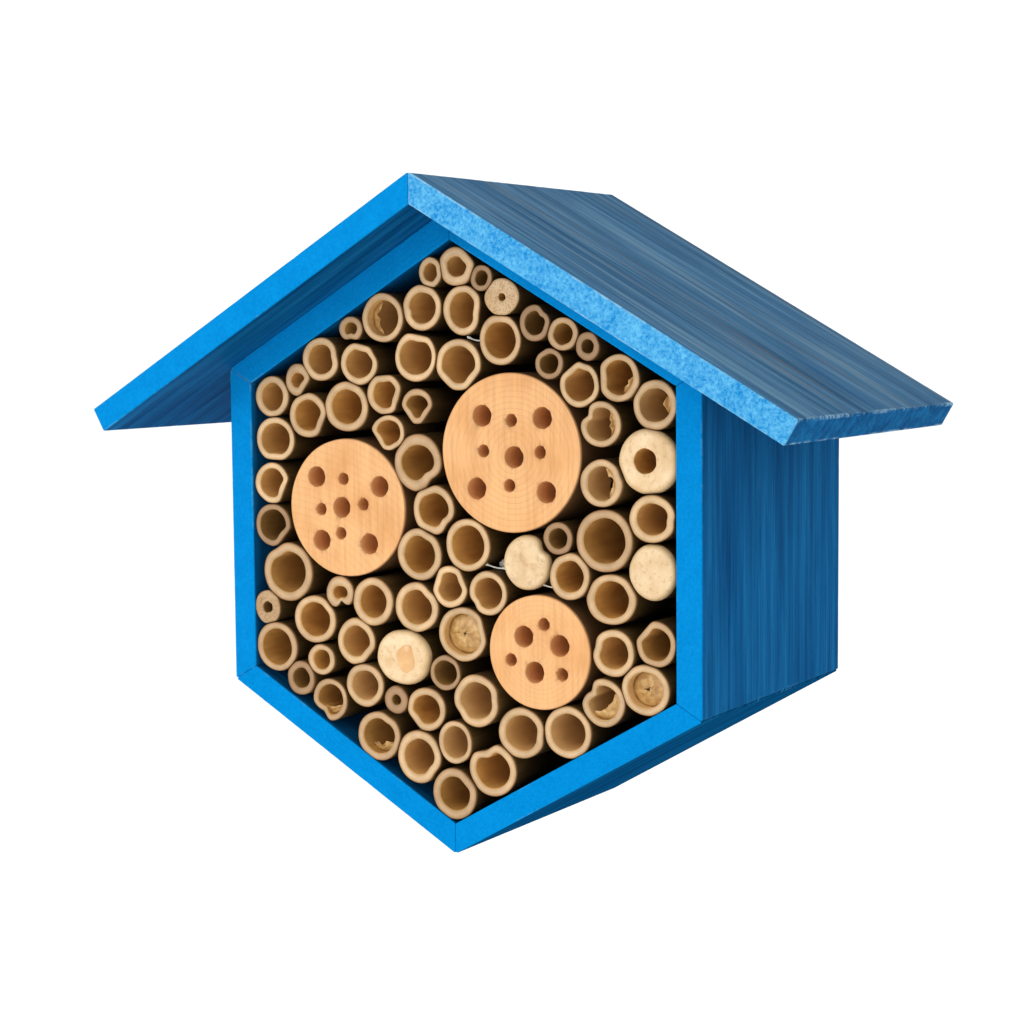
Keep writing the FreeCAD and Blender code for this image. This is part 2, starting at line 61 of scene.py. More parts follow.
PLAIN = (1.0, 0.08, 1.0)
FINISHES = (
    # bone
    ((1.0, 0.0, 1.0), {30, 41, 42, 57}),
    # pale
    ((1.1, 0.0, 1.2), {1, 2, 5, 6, 13, 14, 16, 17, 20, 22, 29, 33, 35, 45, 47, 50, 55, 56, 73}),
    # plain outside, papery inside
    ((1.0, 0.05, 1.5), {7, 23, 27, 32, 54, 61, 62, 64, 65, 69, 70, 71}),
    # tan
    ((0.88, 0.2, 0.8), {4, 8, 10, 24, 31, 36, 44, 52, 58, 68, 72, 75}),
    # brown
    ((0.7, 0.45, 0.45), {3, 9, 12, 15, 37, 38, 51, 60, 63, 66}),
)

# Centre x and z, width and height of the outside and of the bore, then what sets the cane apart:
# flats are (angle, share of the radius), dents are (angle, depth, half width in degrees).
# The centres only tell which cane of the frame a row is about.
CANES = {
    1: (3.0, 99.0, 16.0, 14.4, 9.0, 7.5, dict(dents=[(35, 1.3, 32)])),
    2: (-9.0, 97.0, 10.3, 11.6, 6.0, 7.1, dict(dents=[(10, 0.4, 25)])),
    3: (13.5, 94.5, 9.4, 9.6, 5.3, 5.7, {}),
    4: (22.0, 87.5, 14.5, 13.5, 3.0, 3.0, dict(kind="pith")),
    5: (-12.5, 84.0, 17.2, 17.4, 11.8, 11.8, dict(bore_dents=[(195, 0.7, 12)])),
    6: (5.0, 83.0, 16.8, 18.5, 11.1, 13.4, dict(flats=[(0, 0.86)], dents=[(340, 0.6, 20)])),
    7: (-30.0, 80.5, 18.8, 18.5, 14.0, 13.6, {}),
    8: (-44.5, 76.5, 10.8, 9.7, 5.8, 5.1, dict(flats=[(270, 0.84)], dents=[(270, 0.5, 22)])),
    9: (35.5, 78.0, 12.4, 13.3, 8.3, 8.5, dict(dents=[(50, 0.8, 18)])),
    10: (47.0, 74.0, 12.6, 12.0, 7.9, 7.7, {}),
    11: (21.0, 72.0, 17.6, 18.8, 13.1, 13.4, {}),
    12: (57.0, 69.5, 9.6, 10.4, 5.0, 5.2, {}),
    13: (-15.5, 66.0, 18.4, 18.9, 14.4, 13.4, dict(flats=[(80, 0.88)])),
    14: (-58.5, 65.0, 17.0, 16.8, 11.4, 11.4, dict(dents=[(10, 0.9, 20)])),
    15: (41.0, 63.5, 11.8, 11.4, 7.8, 7.4, dict(dents=[(120, 0.4, 20)])),
    16: (-41.0, 63.5, 16.9, 16.4, 12.2, 11.2, dict(flats=[(78, 0.87)], dents=[(30, 0.5, 16)])),
    17: (3.0, 63.0, 19.4, 19.1, 14.4, 13.8, dict(flats=[(318, 0.9), (228, 0.93)])),
    18: (69.5, 58.5, 17.0, 16.9, 11.5, 12.4, dict(flats=[(182, 0.86)])),
    19: (-70.0, 57.0, 11.6, 12.8, 6.4, 5.6, dict(flats=[(322, 0.74)])),
    20: (53.5, 56.0, 16.1, 16.5, 11.9, 11.9, dict(flats=[(128, 0.88)], dents=[(75, 0.5, 14)])),
    21: (-29.5, 52.0, 15.9, 15.6, 10.5, 10.9, dict(flats=[(345, 0.85), (95, 0.92)], dents=[(320, 0.5, 18)])),
    22: (-82.5, 50.5, 15.9, 16.0, 10.4, 10.8, {}),
    23: (83.5, 49.0, 17.2, 17.8, 12.3, 11.9, {}),
    24: (-15.5, 47.5, 13.9, 13.4, 10.1, 8.5, dict(flats=[(218, 0.8), (322, 0.84)])),
    25: (-47.0, 47.0, 19.8, 19.1, 13.8, 13.2, {}),
    26: (-65.5, 43.5, 17.6, 17.4, 12.4, 12.0, dict(flats=[(335, 0.88)])),
    27: (62.0, 42.0, 16.7, 16.5, 12.0, 12.0, dict(dents=[(148, 2.3, 20)])),
    28: (-28.0, 37.5, 15.0, 13.4, 10.9, 9.6, dict(flats=[(215, 0.8)], dents=[(300, 0.4, 18)])),
    29: (-81.0, 34.0, 18.4, 17.8, 13.7, 12.7, dict(flats=[(268, 0.9)])),
    30: (80.5, 29.0, 23.7, 23.5, 8.8, 9.1, dict(kind="bone", shift=(-0.8, 0.3))),
    31: (-15.0, 26.5, 20.8, 21.7, 14.8, 13.3, dict(dents=[(312, 2.0, 24)])),
    32: (62.5, 21.0, 17.2, 17.2, 11.3, 12.5, dict(dents=[(20, 0.5, 14)])),
    33: (-83.0, 17.0, 16.3, 16.0, 11.3, 11.3, dict(flats=[(335, 0.8)])),
    34: (-8.5, 9.0, 18.3, 18.8, 13.2, 12.9, dict(dents=[(318, 1.3, 22)])),
    35: (82.5, 9.0, 18.2, 17.3, 12.5, 11.3, dict(dents=[(355, 0.7, 14)])),
    36: (63.5, 0.5, 22.8, 22.7, 16.8, 16.3, {}),
    37: (44.5, 0.5, 11.9, 11.9, 7.5, 7.5, {}),
    38: (-83.0, 0.5, 16.5, 17.0, 12.3, 12.3, dict(flats=[(318, 0.83)])),
    39: (6.5, -3.5, 19.4, 19.9, 14.1, 14.8, {}),
    40: (-15.0, -8.0, 19.8, 19.8, 13.7, 14.0, dict(dents=[(65, 0.5, 14)])),
    41: (31.0, -9.0, 19.6, 20.3, 0, 0, dict(kind="bone", dents=[(38, 2.0, 16)], rough=0.9)),
    42: (82.0, -10.0, 18.6, 20.6, 0, 0, dict(kind="bone", rough=0.25)),
    43: (49.5, -13.0, 16.4, 17.5, 11.3, 11.8, {}),
    44: (-76.0, -17.5, 23.5, 23.2, 16.9, 16.1, dict(dents=[(122, 1.2, 20)])),
    45: (-1.5, -19.5, 15.7, 16.0, 11.0, 11.0, dict(flats=[(25, 0.86), (160, 0.88)])),
    46: (66.0, -20.5, 20.3, 18.5, 13.8, 13.4, {}),
    47: (15.0, -21.0, 16.6, 16.5, 12.0, 11.6, dict(dents=[(215, 0.9, 16)])),
    48: (-51.5, -24.5, 13.1, 13.0, 6.7, 5.4, dict(dents=[(280, 3.2, 22)], bore_dents=[])),
    49: (-36.0, -27.0, 18.5, 18.5, 12.0, 12.4, {}),
    50: (-16.5, -28.0, 19.6, 19.1, 13.3, 13.3, dict(dents=[(48, 0.9, 20)])),
    51: (-86.0, -32.0, 11.9, 13.4, 4.6, 4.6, dict(kind="pith")),
    52: (83.5, -35.5, 15.9, 16.7, 11.4, 11.9, dict(flats=[(138, 0.84)])),
    53: (-63.5, -35.5, 20.0, 18.7, 14.0, 13.3, dict(dents=[(40, 0.5, 14)])),
    54: (3.5, -37.0, 21.0, 20.6, 16.5, 15.5, dict(flats=[(15, 0.92)])),
    55: (67.0, -39.5, 17.4, 17.4, 12.0, 11.6, dict(dents=[(165, 1.0, 18)])),
    56: (-44.5, -43.0, 17.5, 18.1, 12.3, 12.1, dict(flats=[(318, 0.88)])),
    57: (-23.0, -47.5, 24.5, 21.4, 0, 0, dict(kind="bone", dents=[(95, 0.5, 20)], rough=0.22)),
    58: (-82.0, -47.5, 19.5, 19.5, 14.1, 14.6, {}),
    59: (-60.5, -51.0, 12.6, 11.9, 7.8, 7.8, {}),
    60: (-4.0, -52.0, 13.4, 13.4, 10.0, 9.4, {}),
    61: (79.5, -52.0, 19.2, 18.5, 14.1, 13.2, {}),
    62: (62.5, -58.0, 18.0, 17.5, 12.8, 12.8, dict(flats=[(150, 0.86)], dents=[(138, 1.3, 16)])),
    63: (-70.5, -59.0, 12.9, 13.6, 8.0, 8.0, {}),
    64: (-40.5, -59.5, 17.3, 16.9, 12.2, 11.3, {}),
    65: (9.5, -61.5, 20.0, 19.8, 14.5, 13.8, dict(dents=[(5, 0.8, 18), (215, 0.8, 16)])),
    66: (-26.0, -64.0, 10.7, 10.7, 4.0, 4.0, {}),
    67: (-12.5, -66.5, 17.0, 16.6, 12.0, 11.1, dict(flats=[(222, 0.87)])),
    68: (-57.0, -66.5, 16.5, 16.5, 12.0, 12.0, dict(flats=[(228, 0.8)], dents=[(238, 0.9, 18)])),
    69: (48.0, -70.0, 19.6, 19.2, 14.4, 13.8, {}),
    70: (28.5, -72.0, 19.8, 19.0, 14.1, 13.2, dict(dents=[(355, 0.7, 16)])),
    71: (0.0, -78.0, 15.0, 16.4, 11.0, 12.4, {}),
    72: (-34.0, -78.5, 19.5, 19.0, 14.0, 13.5, dict(dents=[(60, 0.6, 16)])),
    73: (-16.0, -85.0, 19.9, 20.3, 13.7, 13.7, dict(dents=[(322, 1.2, 20)])),
    74: (16.0, -87.0, 20.4, 20.2, 14.9, 14.0, dict(flats=[(112, 0.86)], dents=[(110, 0.9, 24)])),
    75: (-0.5, -97.5, 19.4, 19.4, 13.3, 12.8, dict(flats=[(45, 0.93)])),
}


# ---- reading the frame ----

def corners(node):
    """A CAD node's points in millimetres, as an array."""
    return np.array([v.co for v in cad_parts[node].data.vertices]) / MM


def front_rims(node):
    """The circles in which a node's round faces meet its front plane, as (x, z, radius)."""
    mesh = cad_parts[node].data
    points = corners(node)
    front = points[:, 1].min()
    edges = Counter()
    for face in mesh.polygons:
        ring = [tuple(points[i].round(4)) for i in face.vertices]
        if all(abs(p[1] - front) < 1e-3 for p in ring):
            edges.update(frozenset(pair) for pair in zip(ring, ring[1:] + ring[:1]))
    beside = defaultdict(list)
    for edge, count in edges.items():
        if count == 1:
            first, second = edge
            beside[first].append(second)
            beside[second].append(first)
    rims, seen = [], set()
    for start in beside:
        if start in seen:
            continue
        loop, waiting = [], [start]
        while waiting:
            point = waiting.pop()
            if point not in seen:
                seen.add(point)
                loop.append(point)
                waiting += beside[point]
        loop = np.array(loop)
        low, high = loop.min(0), loop.max(0)
        rims.append(((low[0] + high[0]) / 2, (low[2] + high[2]) / 2, (high[0] - low[0]) / 2))
    return rims


def section(node):
    """The corners of a board's cross-section, anticlockwise seen from the front."""
    flat = sorted({(round(x, 2), round(z, 2)) for x, y, z in corners(node)})
    ring = []
    for run in (flat, flat[::-1]):
        chain = []
        for spot in map(Vector, run):
            while len(chain) > 1 and (chain[-1] - chain[-2]).cross(spot - chain[-1]) <= 0:
                chain.pop()
            chain.append(spot)
        ring += chain[:-1]

    def sharpness(index):
        before, after = ring[index - 1], ring[(index + 1) % len(ring)]
        return abs((ring[index] - before).cross((after - before).normalized()))

    while len(ring) > 3:
        bluntest = min(range(len(ring)), key=sharpness)
        if sharpness(bluntest) > 0.1:
            break
        ring.pop(bluntest)
    return ring


# ---- meshes ----

def place_object(name, data):
    """An object of the scene, for a mesh, a lamp or a camera."""
    made = bpy.data.objects.new(name, data)
    bpy.context.scene.collection.objects.link(made)
    return made


def make_object(name, points, faces, materials, attributes=None, smooth=True, slots=None):
    """A mesh object from points in millimetres, with named values for its points."""
    mesh = bpy.data.meshes.new(name)
    mesh.from_pydata([tuple(c * MM for c in p) for p in points], [], faces)
    for label, values in (attributes or {}).items():
        width = np.ndim(values[0])
        kind = "FLOAT_VECTOR" if width else "FLOAT"
        layer = mesh.attributes.new(label, kind, "POINT")
        layer.data.foreach_set("vector" if width else "value", np.array(values, float).ravel())
    for material in materials:
        mesh.materials.append(material)
    if slots:
        mesh.polygons.foreach_set("material_index", slots)
    mesh.polygons.foreach_set("use_smooth", [smooth] * len(mesh.polygons))
    mesh.update()
    return place_object(name, mesh)


def from_bmesh(name, shape, material):
    """A smooth mesh object from a bmesh in metres."""
    mesh = bpy.data.meshes.new(name)
    shape.to_mesh(mesh)
    shape.free()
    mesh.materials.append(material)
    mesh.polygons.foreach_set("use_smooth", [True] * len(mesh.polygons))
    return place_object(name, mesh)


def outward(piece):
    """Turn a closed mesh's faces outwards."""
    shape = bmesh.new()
    shape.from_mesh(piece.data)
    bmesh.ops.recalc_face_normals(shape, faces=shape.faces)
    shape.to_mesh(piece.data)
    shape.free()
    return piece


def settle(piece, nodes):
    """Make a piece stand for CAD nodes, on the one body."""
    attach(piece, "root")
    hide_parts(*nodes)
    return piece


def bridge(first, second, count, around=True):
    """Quads between two rings of points that start at these numbers."""
    steps = range(count) if around else range(count - 1)
    return [(first + i, first + (i + 1) % count, second + (i + 1) % count, second + i) for i in steps]


# ---- node materials ----

class Paint:
    """A material being put together from nodes."""

    def __init__(self, name):
        self.material = bpy.data.materials.new(name)
        self.material.use_nodes = True
        self.tree = self.material.node_tree
        self.shader = self.tree.nodes["Principled BSDF"]

    def set(self, **sockets):
        """Set or link sockets of the shader, with _ for a space in their names."""
        self.fill(self.shader, {name.replace("_", " "): value for name, value in sockets.items()})

    def fill(self, node, sockets):
        for name, value in sockets.items():
            if isinstance(value, bpy.types.NodeSocket):
                self.tree.links.new(value, node.inputs[name])
            else:
                node.inputs[name].default_value = value

    def add(self, kind, sockets=None, **settings):
        node = self.tree.nodes.new(kind)
        for name, value in settings.items():
            setattr(node, name, value)
        self.fill(node, sockets or {})
        return node

    def value(self, name):
        """A named value of the mesh's points."""
        return self.add("ShaderNodeAttribute", attribute_name=name).outputs["Fac"]

    def place(self, name=None, scale=(1, 1, 1)):
        """Coordinates: a named vector of the points, or their place in the frame, stretched."""
        if name:
            source = self.add("ShaderNodeAttribute", attribute_name=name).outputs["Vector"]
        else:
            source = self.add("ShaderNodeTexCoord").outputs["Object"]
        return self.add("ShaderNodeMapping", {"Vector": source, "Scale": scale}).outputs["Vector"]

    def noise(self, where, scale=1.0, detail=4.0, roughness=0.55, distortion=0.0):
        sockets = {"Vector": where, "Scale": scale, "Detail": detail, "Roughness": roughness}
        sockets["Distortion"] = distortion
        return self.add("ShaderNodeTexNoise", sockets).outputs["Fac"]

    def spots(self, where, scale, feature="F1", randomness=1.0):
        sockets = {"Vector": where, "Scale": scale, "Randomness": randomness}
        return self.add("ShaderNodeTexVoronoi", sockets, feature=feature).outputs["Distance"]

    def ramp(self, value, *stops):
        """A colour for each share of a value: stops are (share, colour)."""
        node = self.add("ShaderNodeValToRGB", {"Fac": value})
        elements = node.color_ramp.elements
        while len(elements) < len(stops):
            elements.new(0.5)
        for element, (share, colour) in zip(elements, stops):
            element.position = share
            element.color = colour
        return node.outputs["Color"]

    def span(self, value, low, high, start=0.0, end=1.0):
        """A value carried over from one range to another, and kept in it."""
        sockets = {"Value": value, "From Min": low, "From Max": high, "To Min": start, "To Max": end}
        return self.add("ShaderNodeMapRange", sockets).outputs["Result"]

    def maths(self, operation, first, second=0.0):
        node = self.add("ShaderNodeMath", operation=operation)
        for socket, value in zip(node.inputs, (first, second)):
            if isinstance(value, bpy.types.NodeSocket):
                self.tree.links.new(value, socket)
            else:
                socket.default_value = value
        return node.outputs["Value"]

    def mix(self, share, first, second, blend="MIX"):
        node = self.add("ShaderNodeMix", data_type="RGBA", blend_type=blend)
        for number, value in ((0, share), (6, first), (7, second)):
            if isinstance(value, bpy.types.NodeSocket):
                self.tree.links.new(value, node.inputs[number])
            else:
                node.inputs[number].default_value = value
        return node.outputs[2]

    def shaded(self, colour, value):
        """A colour multiplied by a value."""
        grey = self.add("ShaderNodeCombineColor", dict(Red=value, Green=value, Blue=value)).outputs[0]
        return self.mix(1.0, colour, grey, "MULTIPLY")

    def blend(self, first, second, share):
        """Two values added, the first at a share and the second at the rest."""
        rest = self.maths("MULTIPLY", second, 1 - share)
        return self.maths("ADD", self.maths("MULTIPLY", first, share), rest)

    def bump(self, height, distance, strength=1.0, before=None):
        sockets = {"Height": height, "Distance": distance * MM, "Strength": strength}
        if before:
            sockets["Normal"] = before
        return self.add("ShaderNodeBump", sockets).outputs["Normal"]


WHITE = (1, 1, 1, 1)
BLACK = (0, 0, 0, 1)


def painted_board(name, edge_dark, edge_light, shade=1.0, wear=0.53, bared=srgb(64, 142, 192)):
    """Blue paint on softwood: streaked along the grain, greyer on the roof's top face, mottled on the sawn
    edges.
    """
    paint = Paint(name)
    long_streaks = paint.noise(paint.place("grain", (10, 230, 230)), detail=6, roughness=0.65)
    fine_streaks = paint.noise(paint.place("grain", (30, 1700, 1700)), detail=3)
    patches = paint.noise(paint.place("grain", (12, 46, 46)), detail=3)
    blended = paint.blend(long_streaks, patches, 0.7)
    blue = paint.ramp(blended, (0.36, srgb(4, 62, 110)), (0.5, srgb(10, 82, 132)), (0.64, srgb(20, 101, 152)))
    grey = paint.ramp(blended, (0.36, srgb(34, 72, 104)), (0.5, srgb(58, 98, 130)), (0.64, srgb(88, 124, 148)))
    top_patches = paint.noise(paint.place("grain", (7, 150, 150)), scale=1.3, detail=4)
    grey = paint.mix(paint.span(top_patches, 0.56, 0.72, 0.0, 0.55), grey, srgb(98, 104, 108))
    grey = paint.mix(paint.span(top_patches, 0.3, 0.4, 0.5, 0.0), grey, srgb(18, 84, 134))
    # Greyer on the roof's top face.
    streaked = paint.mix(paint.value("roof_top"), blue, grey)
    # A shade under 1 darkens the board's faces with painted shade.
    fine = paint.span(fine_streaks, 0.3, 0.7, 0.8 * shade, 1.2 * shade)
    streaked = paint.shaded(streaked, fine)
    mottle = paint.noise(paint.place(), scale=900, detail=5, roughness=0.7)
    blotches = paint.noise(paint.place(), scale=120, detail=3)
    edge = paint.ramp(paint.blend(mottle, blotches, 0.75), (0.38, edge_dark), (0.62, edge_light))
    colour = paint.mix(paint.value("front"), streaked, edge)
    chips = paint.noise(paint.place(), scale=330, detail=5, roughness=0.7)
    runs = paint.noise(paint.place(), scale=24, detail=2)
    bare = paint.span(paint.blend(chips, runs, 0.5), wear, wear + 0.09, 0.0, 0.6)
    worn = paint.maths("MULTIPLY", bare, paint.value("arris"))
    colour = paint.mix(worn, colour, bared)
    relief = paint.bump(long_streaks, 0.5, 0.4, paint.bump(fine_streaks, 0.25, 0.5))
    relief = paint.bump(mottle, 0.15, 0.45, relief)
    paint.set(Base_Color=colour, Roughness=paint.span(mottle, 0.3, 0.7, 0.5, 0.7), Normal=relief)
    paint.set(Specular_IOR_Level=0.03 if shade == 1 else 0.0, IOR=1.2)
    return paint.material


def cane_end():
    """Sawn cane wall: cream, browner towards the skin, dotted with the dark ends of its fibres."""
    paint = Paint("sawn_cane")
    across = paint.value("wall")
    grain = paint.noise(paint.place(scale=(1, 0.2, 1)), scale=900, detail=4)
    broad = paint.noise(paint.place(scale=(1, 0.3, 1)), scale=150, detail=4)
    colour = paint.ramp(across, (0.0, srgb(160, 125, 85)), (0.16, srgb(189, 157, 116)),
                        (0.5, srgb(198, 169, 133)),
                        (0.8, srgb(181, 147, 105)), (1.0, srgb(116, 81, 48)))
    colour = paint.shaded(colour, paint.span(broad, 0.3, 0.7, 0.8, 1.08))
    dots = paint.spots(paint.place(scale=(1, 0.15, 1)), 1900)
    shown = paint.span(across, 0.25, 0.9, 0.2, 0.7)
    dotted = paint.maths("MULTIPLY", paint.span(dots, 0.18, 0.32, 1.0, 0.0), shown)
    colour = paint.mix(dotted, colour, srgb(149, 110, 69))
    colour = paint.mix(paint.maths("MULTIPLY", paint.value("redness"), 0.7), colour, srgb(164, 110, 75))
    colour = paint.shaded(colour, paint.value("bright"))
    paint.set(Base_Color=colour, Roughness=0.75, Normal=paint.bump(grain, 0.15, 0.7), Specular_IOR_Level=0.25)
    return paint.material


def cane_skin():
    """The outside of a cane: olive to tan, with fibres along it, and painted shade further back from the cut.
    """
    paint = Paint("cane_skin")
    fibres = paint.noise(paint.place(scale=(1500, 22, 1500)), detail=3)
    broad = paint.noise(paint.place(scale=(90, 16, 90)), detail=4)
    colour = paint.ramp(broad, (0.3, srgb(54, 38, 18)), (0.5, srgb(82, 60, 28)), (0.7, srgb(108, 82, 44)))
    colour = paint.shaded(colour, paint.span(fibres, 0.3, 0.7, 0.78, 1.14))
    colour = paint.mix(paint.span(paint.value("depth"), 0.0, 1.2, 0.6, 0.0), colour, srgb(150, 114, 72))
    # Painted shade: the skin darkens from 2 to 24 mm behind the cut, where it lies in the gaps between the
    # canes.
    colour = paint.shaded(colour, paint.span(paint.value("depth"), 2.0, 24.0, 0.95, 0.22))
    paint.set(Base_Color=colour, Roughness=0.5, Normal=paint.bump(fibres, 0.08, 0.5), Specular_IOR_Level=0.3)
    return paint.material


def cane_bore():
    """The inside of a cane: smooth brown, fibrous along its length, darker further in."""
    paint = Paint("cane_bore")
    fibres = paint.noise(paint.place(scale=(700, 25, 700)), detail=2)
    broad = paint.noise(paint.place(scale=(110, 40, 110)), detail=4)
    colour = paint.ramp(broad, (0.3, srgb(176, 126, 63)), (0.5, srgb(198, 147, 78)), (0.7, srgb(215, 165, 91)))
    colour = paint.shaded(colour, paint.span(fibres, 0.3, 0.7, 0.93, 1.05))
    colour = paint.mix(paint.span(paint.value("depth"), 0.0, 1.0, 0.7, 0.0), colour, srgb(219, 175, 109))
    shade = paint.maths("MINIMUM", paint.value("bore_bright"), 1.0)
    colour = paint.shaded(colour, shade)
    colour = paint.mix(paint.span(paint.value("bore_bright"), 1.0, 1.6, 0.0, 0.75), colour, srgb(210, 172, 118))
    paint.set(Base_Color=colour, Roughness=0.55, Normal=paint.bump(fibres, 0.05, 0.4), Specular_IOR_Level=0.3)
    return paint.material


def pale_pith(name, dotted):
    """Dense cream heartwood of the thick and the solid canes."""
    paint = Paint(name)
    lumps = paint.noise(paint.place(), scale=520, detail=6, roughness=0.7)
    broad = paint.noise(paint.place(), scale=110, detail=3)
    colour = paint.ramp(broad, (0.3, srgb(201, 169, 127)), (0.55, srgb(217, 190, 152)),
                        (0.75, srgb(228, 203, 167)))
    colour = paint.mix(paint.span(lumps, 0.36, 0.46, 0.5, 0.0), colour, srgb(175, 139, 93))
    if dotted:
        dots = paint.spots(paint.place(scale=(1, 0.1, 1)), 1300)
        colour = paint.mix(paint.span(dots, 0.22, 0.36, 0.8, 0.0), colour, srgb(144, 102, 57))
    colour = paint.mix(paint.span(paint.value("wall"), 0.8, 1.0, 0.0, 0.75), colour, srgb(173, 139, 90))
    colour = paint.mix(paint.maths("MULTIPLY", paint.value("redness"), 0.6), colour, srgb(190, 128, 77))
    colour = paint.shaded(colour, paint.value("bright"))
    paint.set(Base_Color=colour, Roughness=0.85, Normal=paint.bump(lumps, 0.4, 0.8), Specular_IOR_Level=0.15)
    return paint.material


def film_material():
    """The papery lining that peels off inside a cane."""
    paint = Paint("cane_lining")
    creases = paint.noise(paint.place(scale=(1, 0.5, 1)), scale=420, detail=5)
    colour = paint.ramp(creases, (0.32, srgb(153, 110, 57)), (0.55, srgb(184, 145, 86)),
                        (0.72, srgb(203, 170, 114)))
    paint.set(Base_Color=colour, Roughness=0.38, Normal=paint.bump(creases, 0.3, 0.6))
    return paint.material


def plain_wood(name):
    """Bare softwood with its grain upright."""
    paint = Paint(name)
    streaks = paint.noise(paint.place(scale=(260, 260, 9)), detail=5)
    broad = paint.noise(paint.place(scale=(40, 40, 5)), detail=3)
    colour = paint.ramp(streaks, (0.3, srgb(150, 112, 70)), (0.5, srgb(182, 142, 94)),
                        (0.7, srgb(200, 164, 116)))
    colour = paint.shaded(colour, paint.span(broad, 0.3, 0.7, 0.85, 1.05))
    paint.set(Base_Color=colour, Roughness=0.75, Normal=paint.bump(streaks, 0.15, 0.5), Specular_IOR_Level=0.25)
    return paint.material


def plated_steel(name, dull, bright, gloss):
    """Zinc-plated steel, drawn along its length, with duller patches."""
    paint = Paint(name)
    drawn = paint.noise(paint.place(scale=(1500, 1500, 60)), detail=3)
    patches = paint.noise(paint.place(), scale=160, detail=4)
    colour = paint.ramp(patches, (0.3, dull), (0.7, bright))
    paint.set(Base_Color=colour, Metallic=1.0, Roughness=paint.span(patches, 0.3, 0.7, gloss + 0.16, gloss))
    paint.set(Normal=paint.bump(drawn, 0.03, 0.4))
    return paint.material


def milky_glue():
    """Hot-melt glue: cloudy, off-white and glossy."""
    paint = Paint("milky_glue")
    clouds = paint.noise(paint.place(), scale=260, detail=3)
    colour = paint.ramp(clouds, (0.3, srgb(176, 168, 154)), (0.7, srgb(216, 212, 202)))
    paint.set(Base_Color=colour, Roughness=0.25, Subsurface_Weight=0.3, Subsurface_Scale=0.002)
    paint.set(Normal=paint.bump(clouds, 0.1, 0.4))
    return paint.material


def log_wood(name, centre, ring_pitch, grain_turn, ring_strength, saw_turn, light, dark):
    """Sawn end grain: growth rings about a centre, faint saw marks across them, and painted shade at the rim
    and along the side.
    """
    paint = Paint(name)
    source = paint.add("ShaderNodeTexCoord").outputs["Object"]
    pith = (-centre[0] * MM, 0, -centre[1] * MM)
    centred = paint.add("ShaderNodeMapping", {"Vector": source, "Location": pith}).outputs["Vector"]

    def stretched(turn, scale):
        sockets = {"Vector": centred, "Rotation": (0, math.radians(turn), 0), "Scale": scale}
        return paint.add("ShaderNodeMapping", sockets).outputs["Vector"]

    waver = paint.noise(centred, scale=55, detail=3)
    flat = paint.add("ShaderNodeVectorMath", {0: centred, 1: (1.0, 0.02, 1.0)}, operation="MULTIPLY")
    length = paint.add("ShaderNodeVectorMath", {0: flat.outputs["Vector"]}, operation="LENGTH")
    radius = paint.maths("ADD", length.outputs["Value"], paint.maths("MULTIPLY", waver, 0.0022))
    turn = paint.maths("FRACT", paint.maths("DIVIDE", radius, ring_pitch * MM))
    ring = paint.ramp(turn, (0.0, BLACK), (0.72, srgb(110, 110, 110)), (0.9, WHITE), (1.0, BLACK))
    patches = paint.noise(centred, scale=40, detail=4)
    base = paint.ramp(patches, (0.3, dark), (0.55, light), (0.75, light))
    share = paint.maths("MULTIPLY", ring, paint.span(patches, 0.3, 0.75, ring_strength * 0.4, ring_strength))
    colour = paint.mix(share, base, srgb(178, 116, 62))
    streaks = paint.noise(stretched(grain_turn, (700, 700, 38)), detail=4)
    colour = paint.shaded(colour, paint.span(streaks, 0.3, 0.7, 0.9, 1.07))
    marks = paint.noise(stretched(saw_turn, (1300, 60, 40)), detail=2)
    colour = paint.shaded(colour, paint.span(marks, 0.3, 0.7, 0.94, 1.04))
    # Painted shade: darker at the rim of the face, and dark brown along the side behind it, where it lies
    # between the canes.
    colour = paint.mix(paint.span(paint.value("wall"), 0.975, 1.0, 0.0, 0.55), colour, srgb(150, 100, 56))
    colour = paint.mix(paint.span(paint.value("wall"), 1.0, 1.3, 0.0, 0.9), colour, srgb(84, 56, 28))
    colour = paint.mix(paint.value("hole"), colour, paint.mix(streaks, srgb(206, 140, 84), srgb(226, 170, 112)))
    relief = paint.bump(marks, 0.1, 0.5)
    relief = paint.bump(streaks, 0.08, 0.5, relief)
    paint.set(Base_Color=colour, Roughness=0.66, Normal=relief, Specular_IOR_Level=0.3)
    return paint.material


# ---- boards ----

BOX_PAINT = painted_board("box_paint", srgb(2, 116, 181), srgb(5, 129, 197))
# The lower walls get painted shade: their faces are darkened to 0.68 for the shade under them.
LOW_SHADED_PAINT = painted_board("box_paint_low_painted_shade", srgb(2, 116, 181), srgb(5, 129, 197), 0.68)
PALE_PAINT = painted_board("roof_paint_pale", srgb(16, 118, 182), srgb(92, 170, 210), wear=0.47,
                           bared=srgb(146, 186, 206))
ARRIS = 0.6  # the round along a board's edges
STEP = 3.2  # between the points of a board's surface
# From an end of a board: how deep, how far its outline is pulled in there, and how worn it is.
END_RINGS = [(0.0, 0.57, 0.0), (0.0, 0.42, 1.0), (0.1, 0.16, 1.0),
             (0.32, 0.03, 1.0), (0.8, 0.0, 0.3), (1.8, 0.0, 0.0)]
FRONT_DEPTH = 0.7  # paint of the front edge reaches this far back


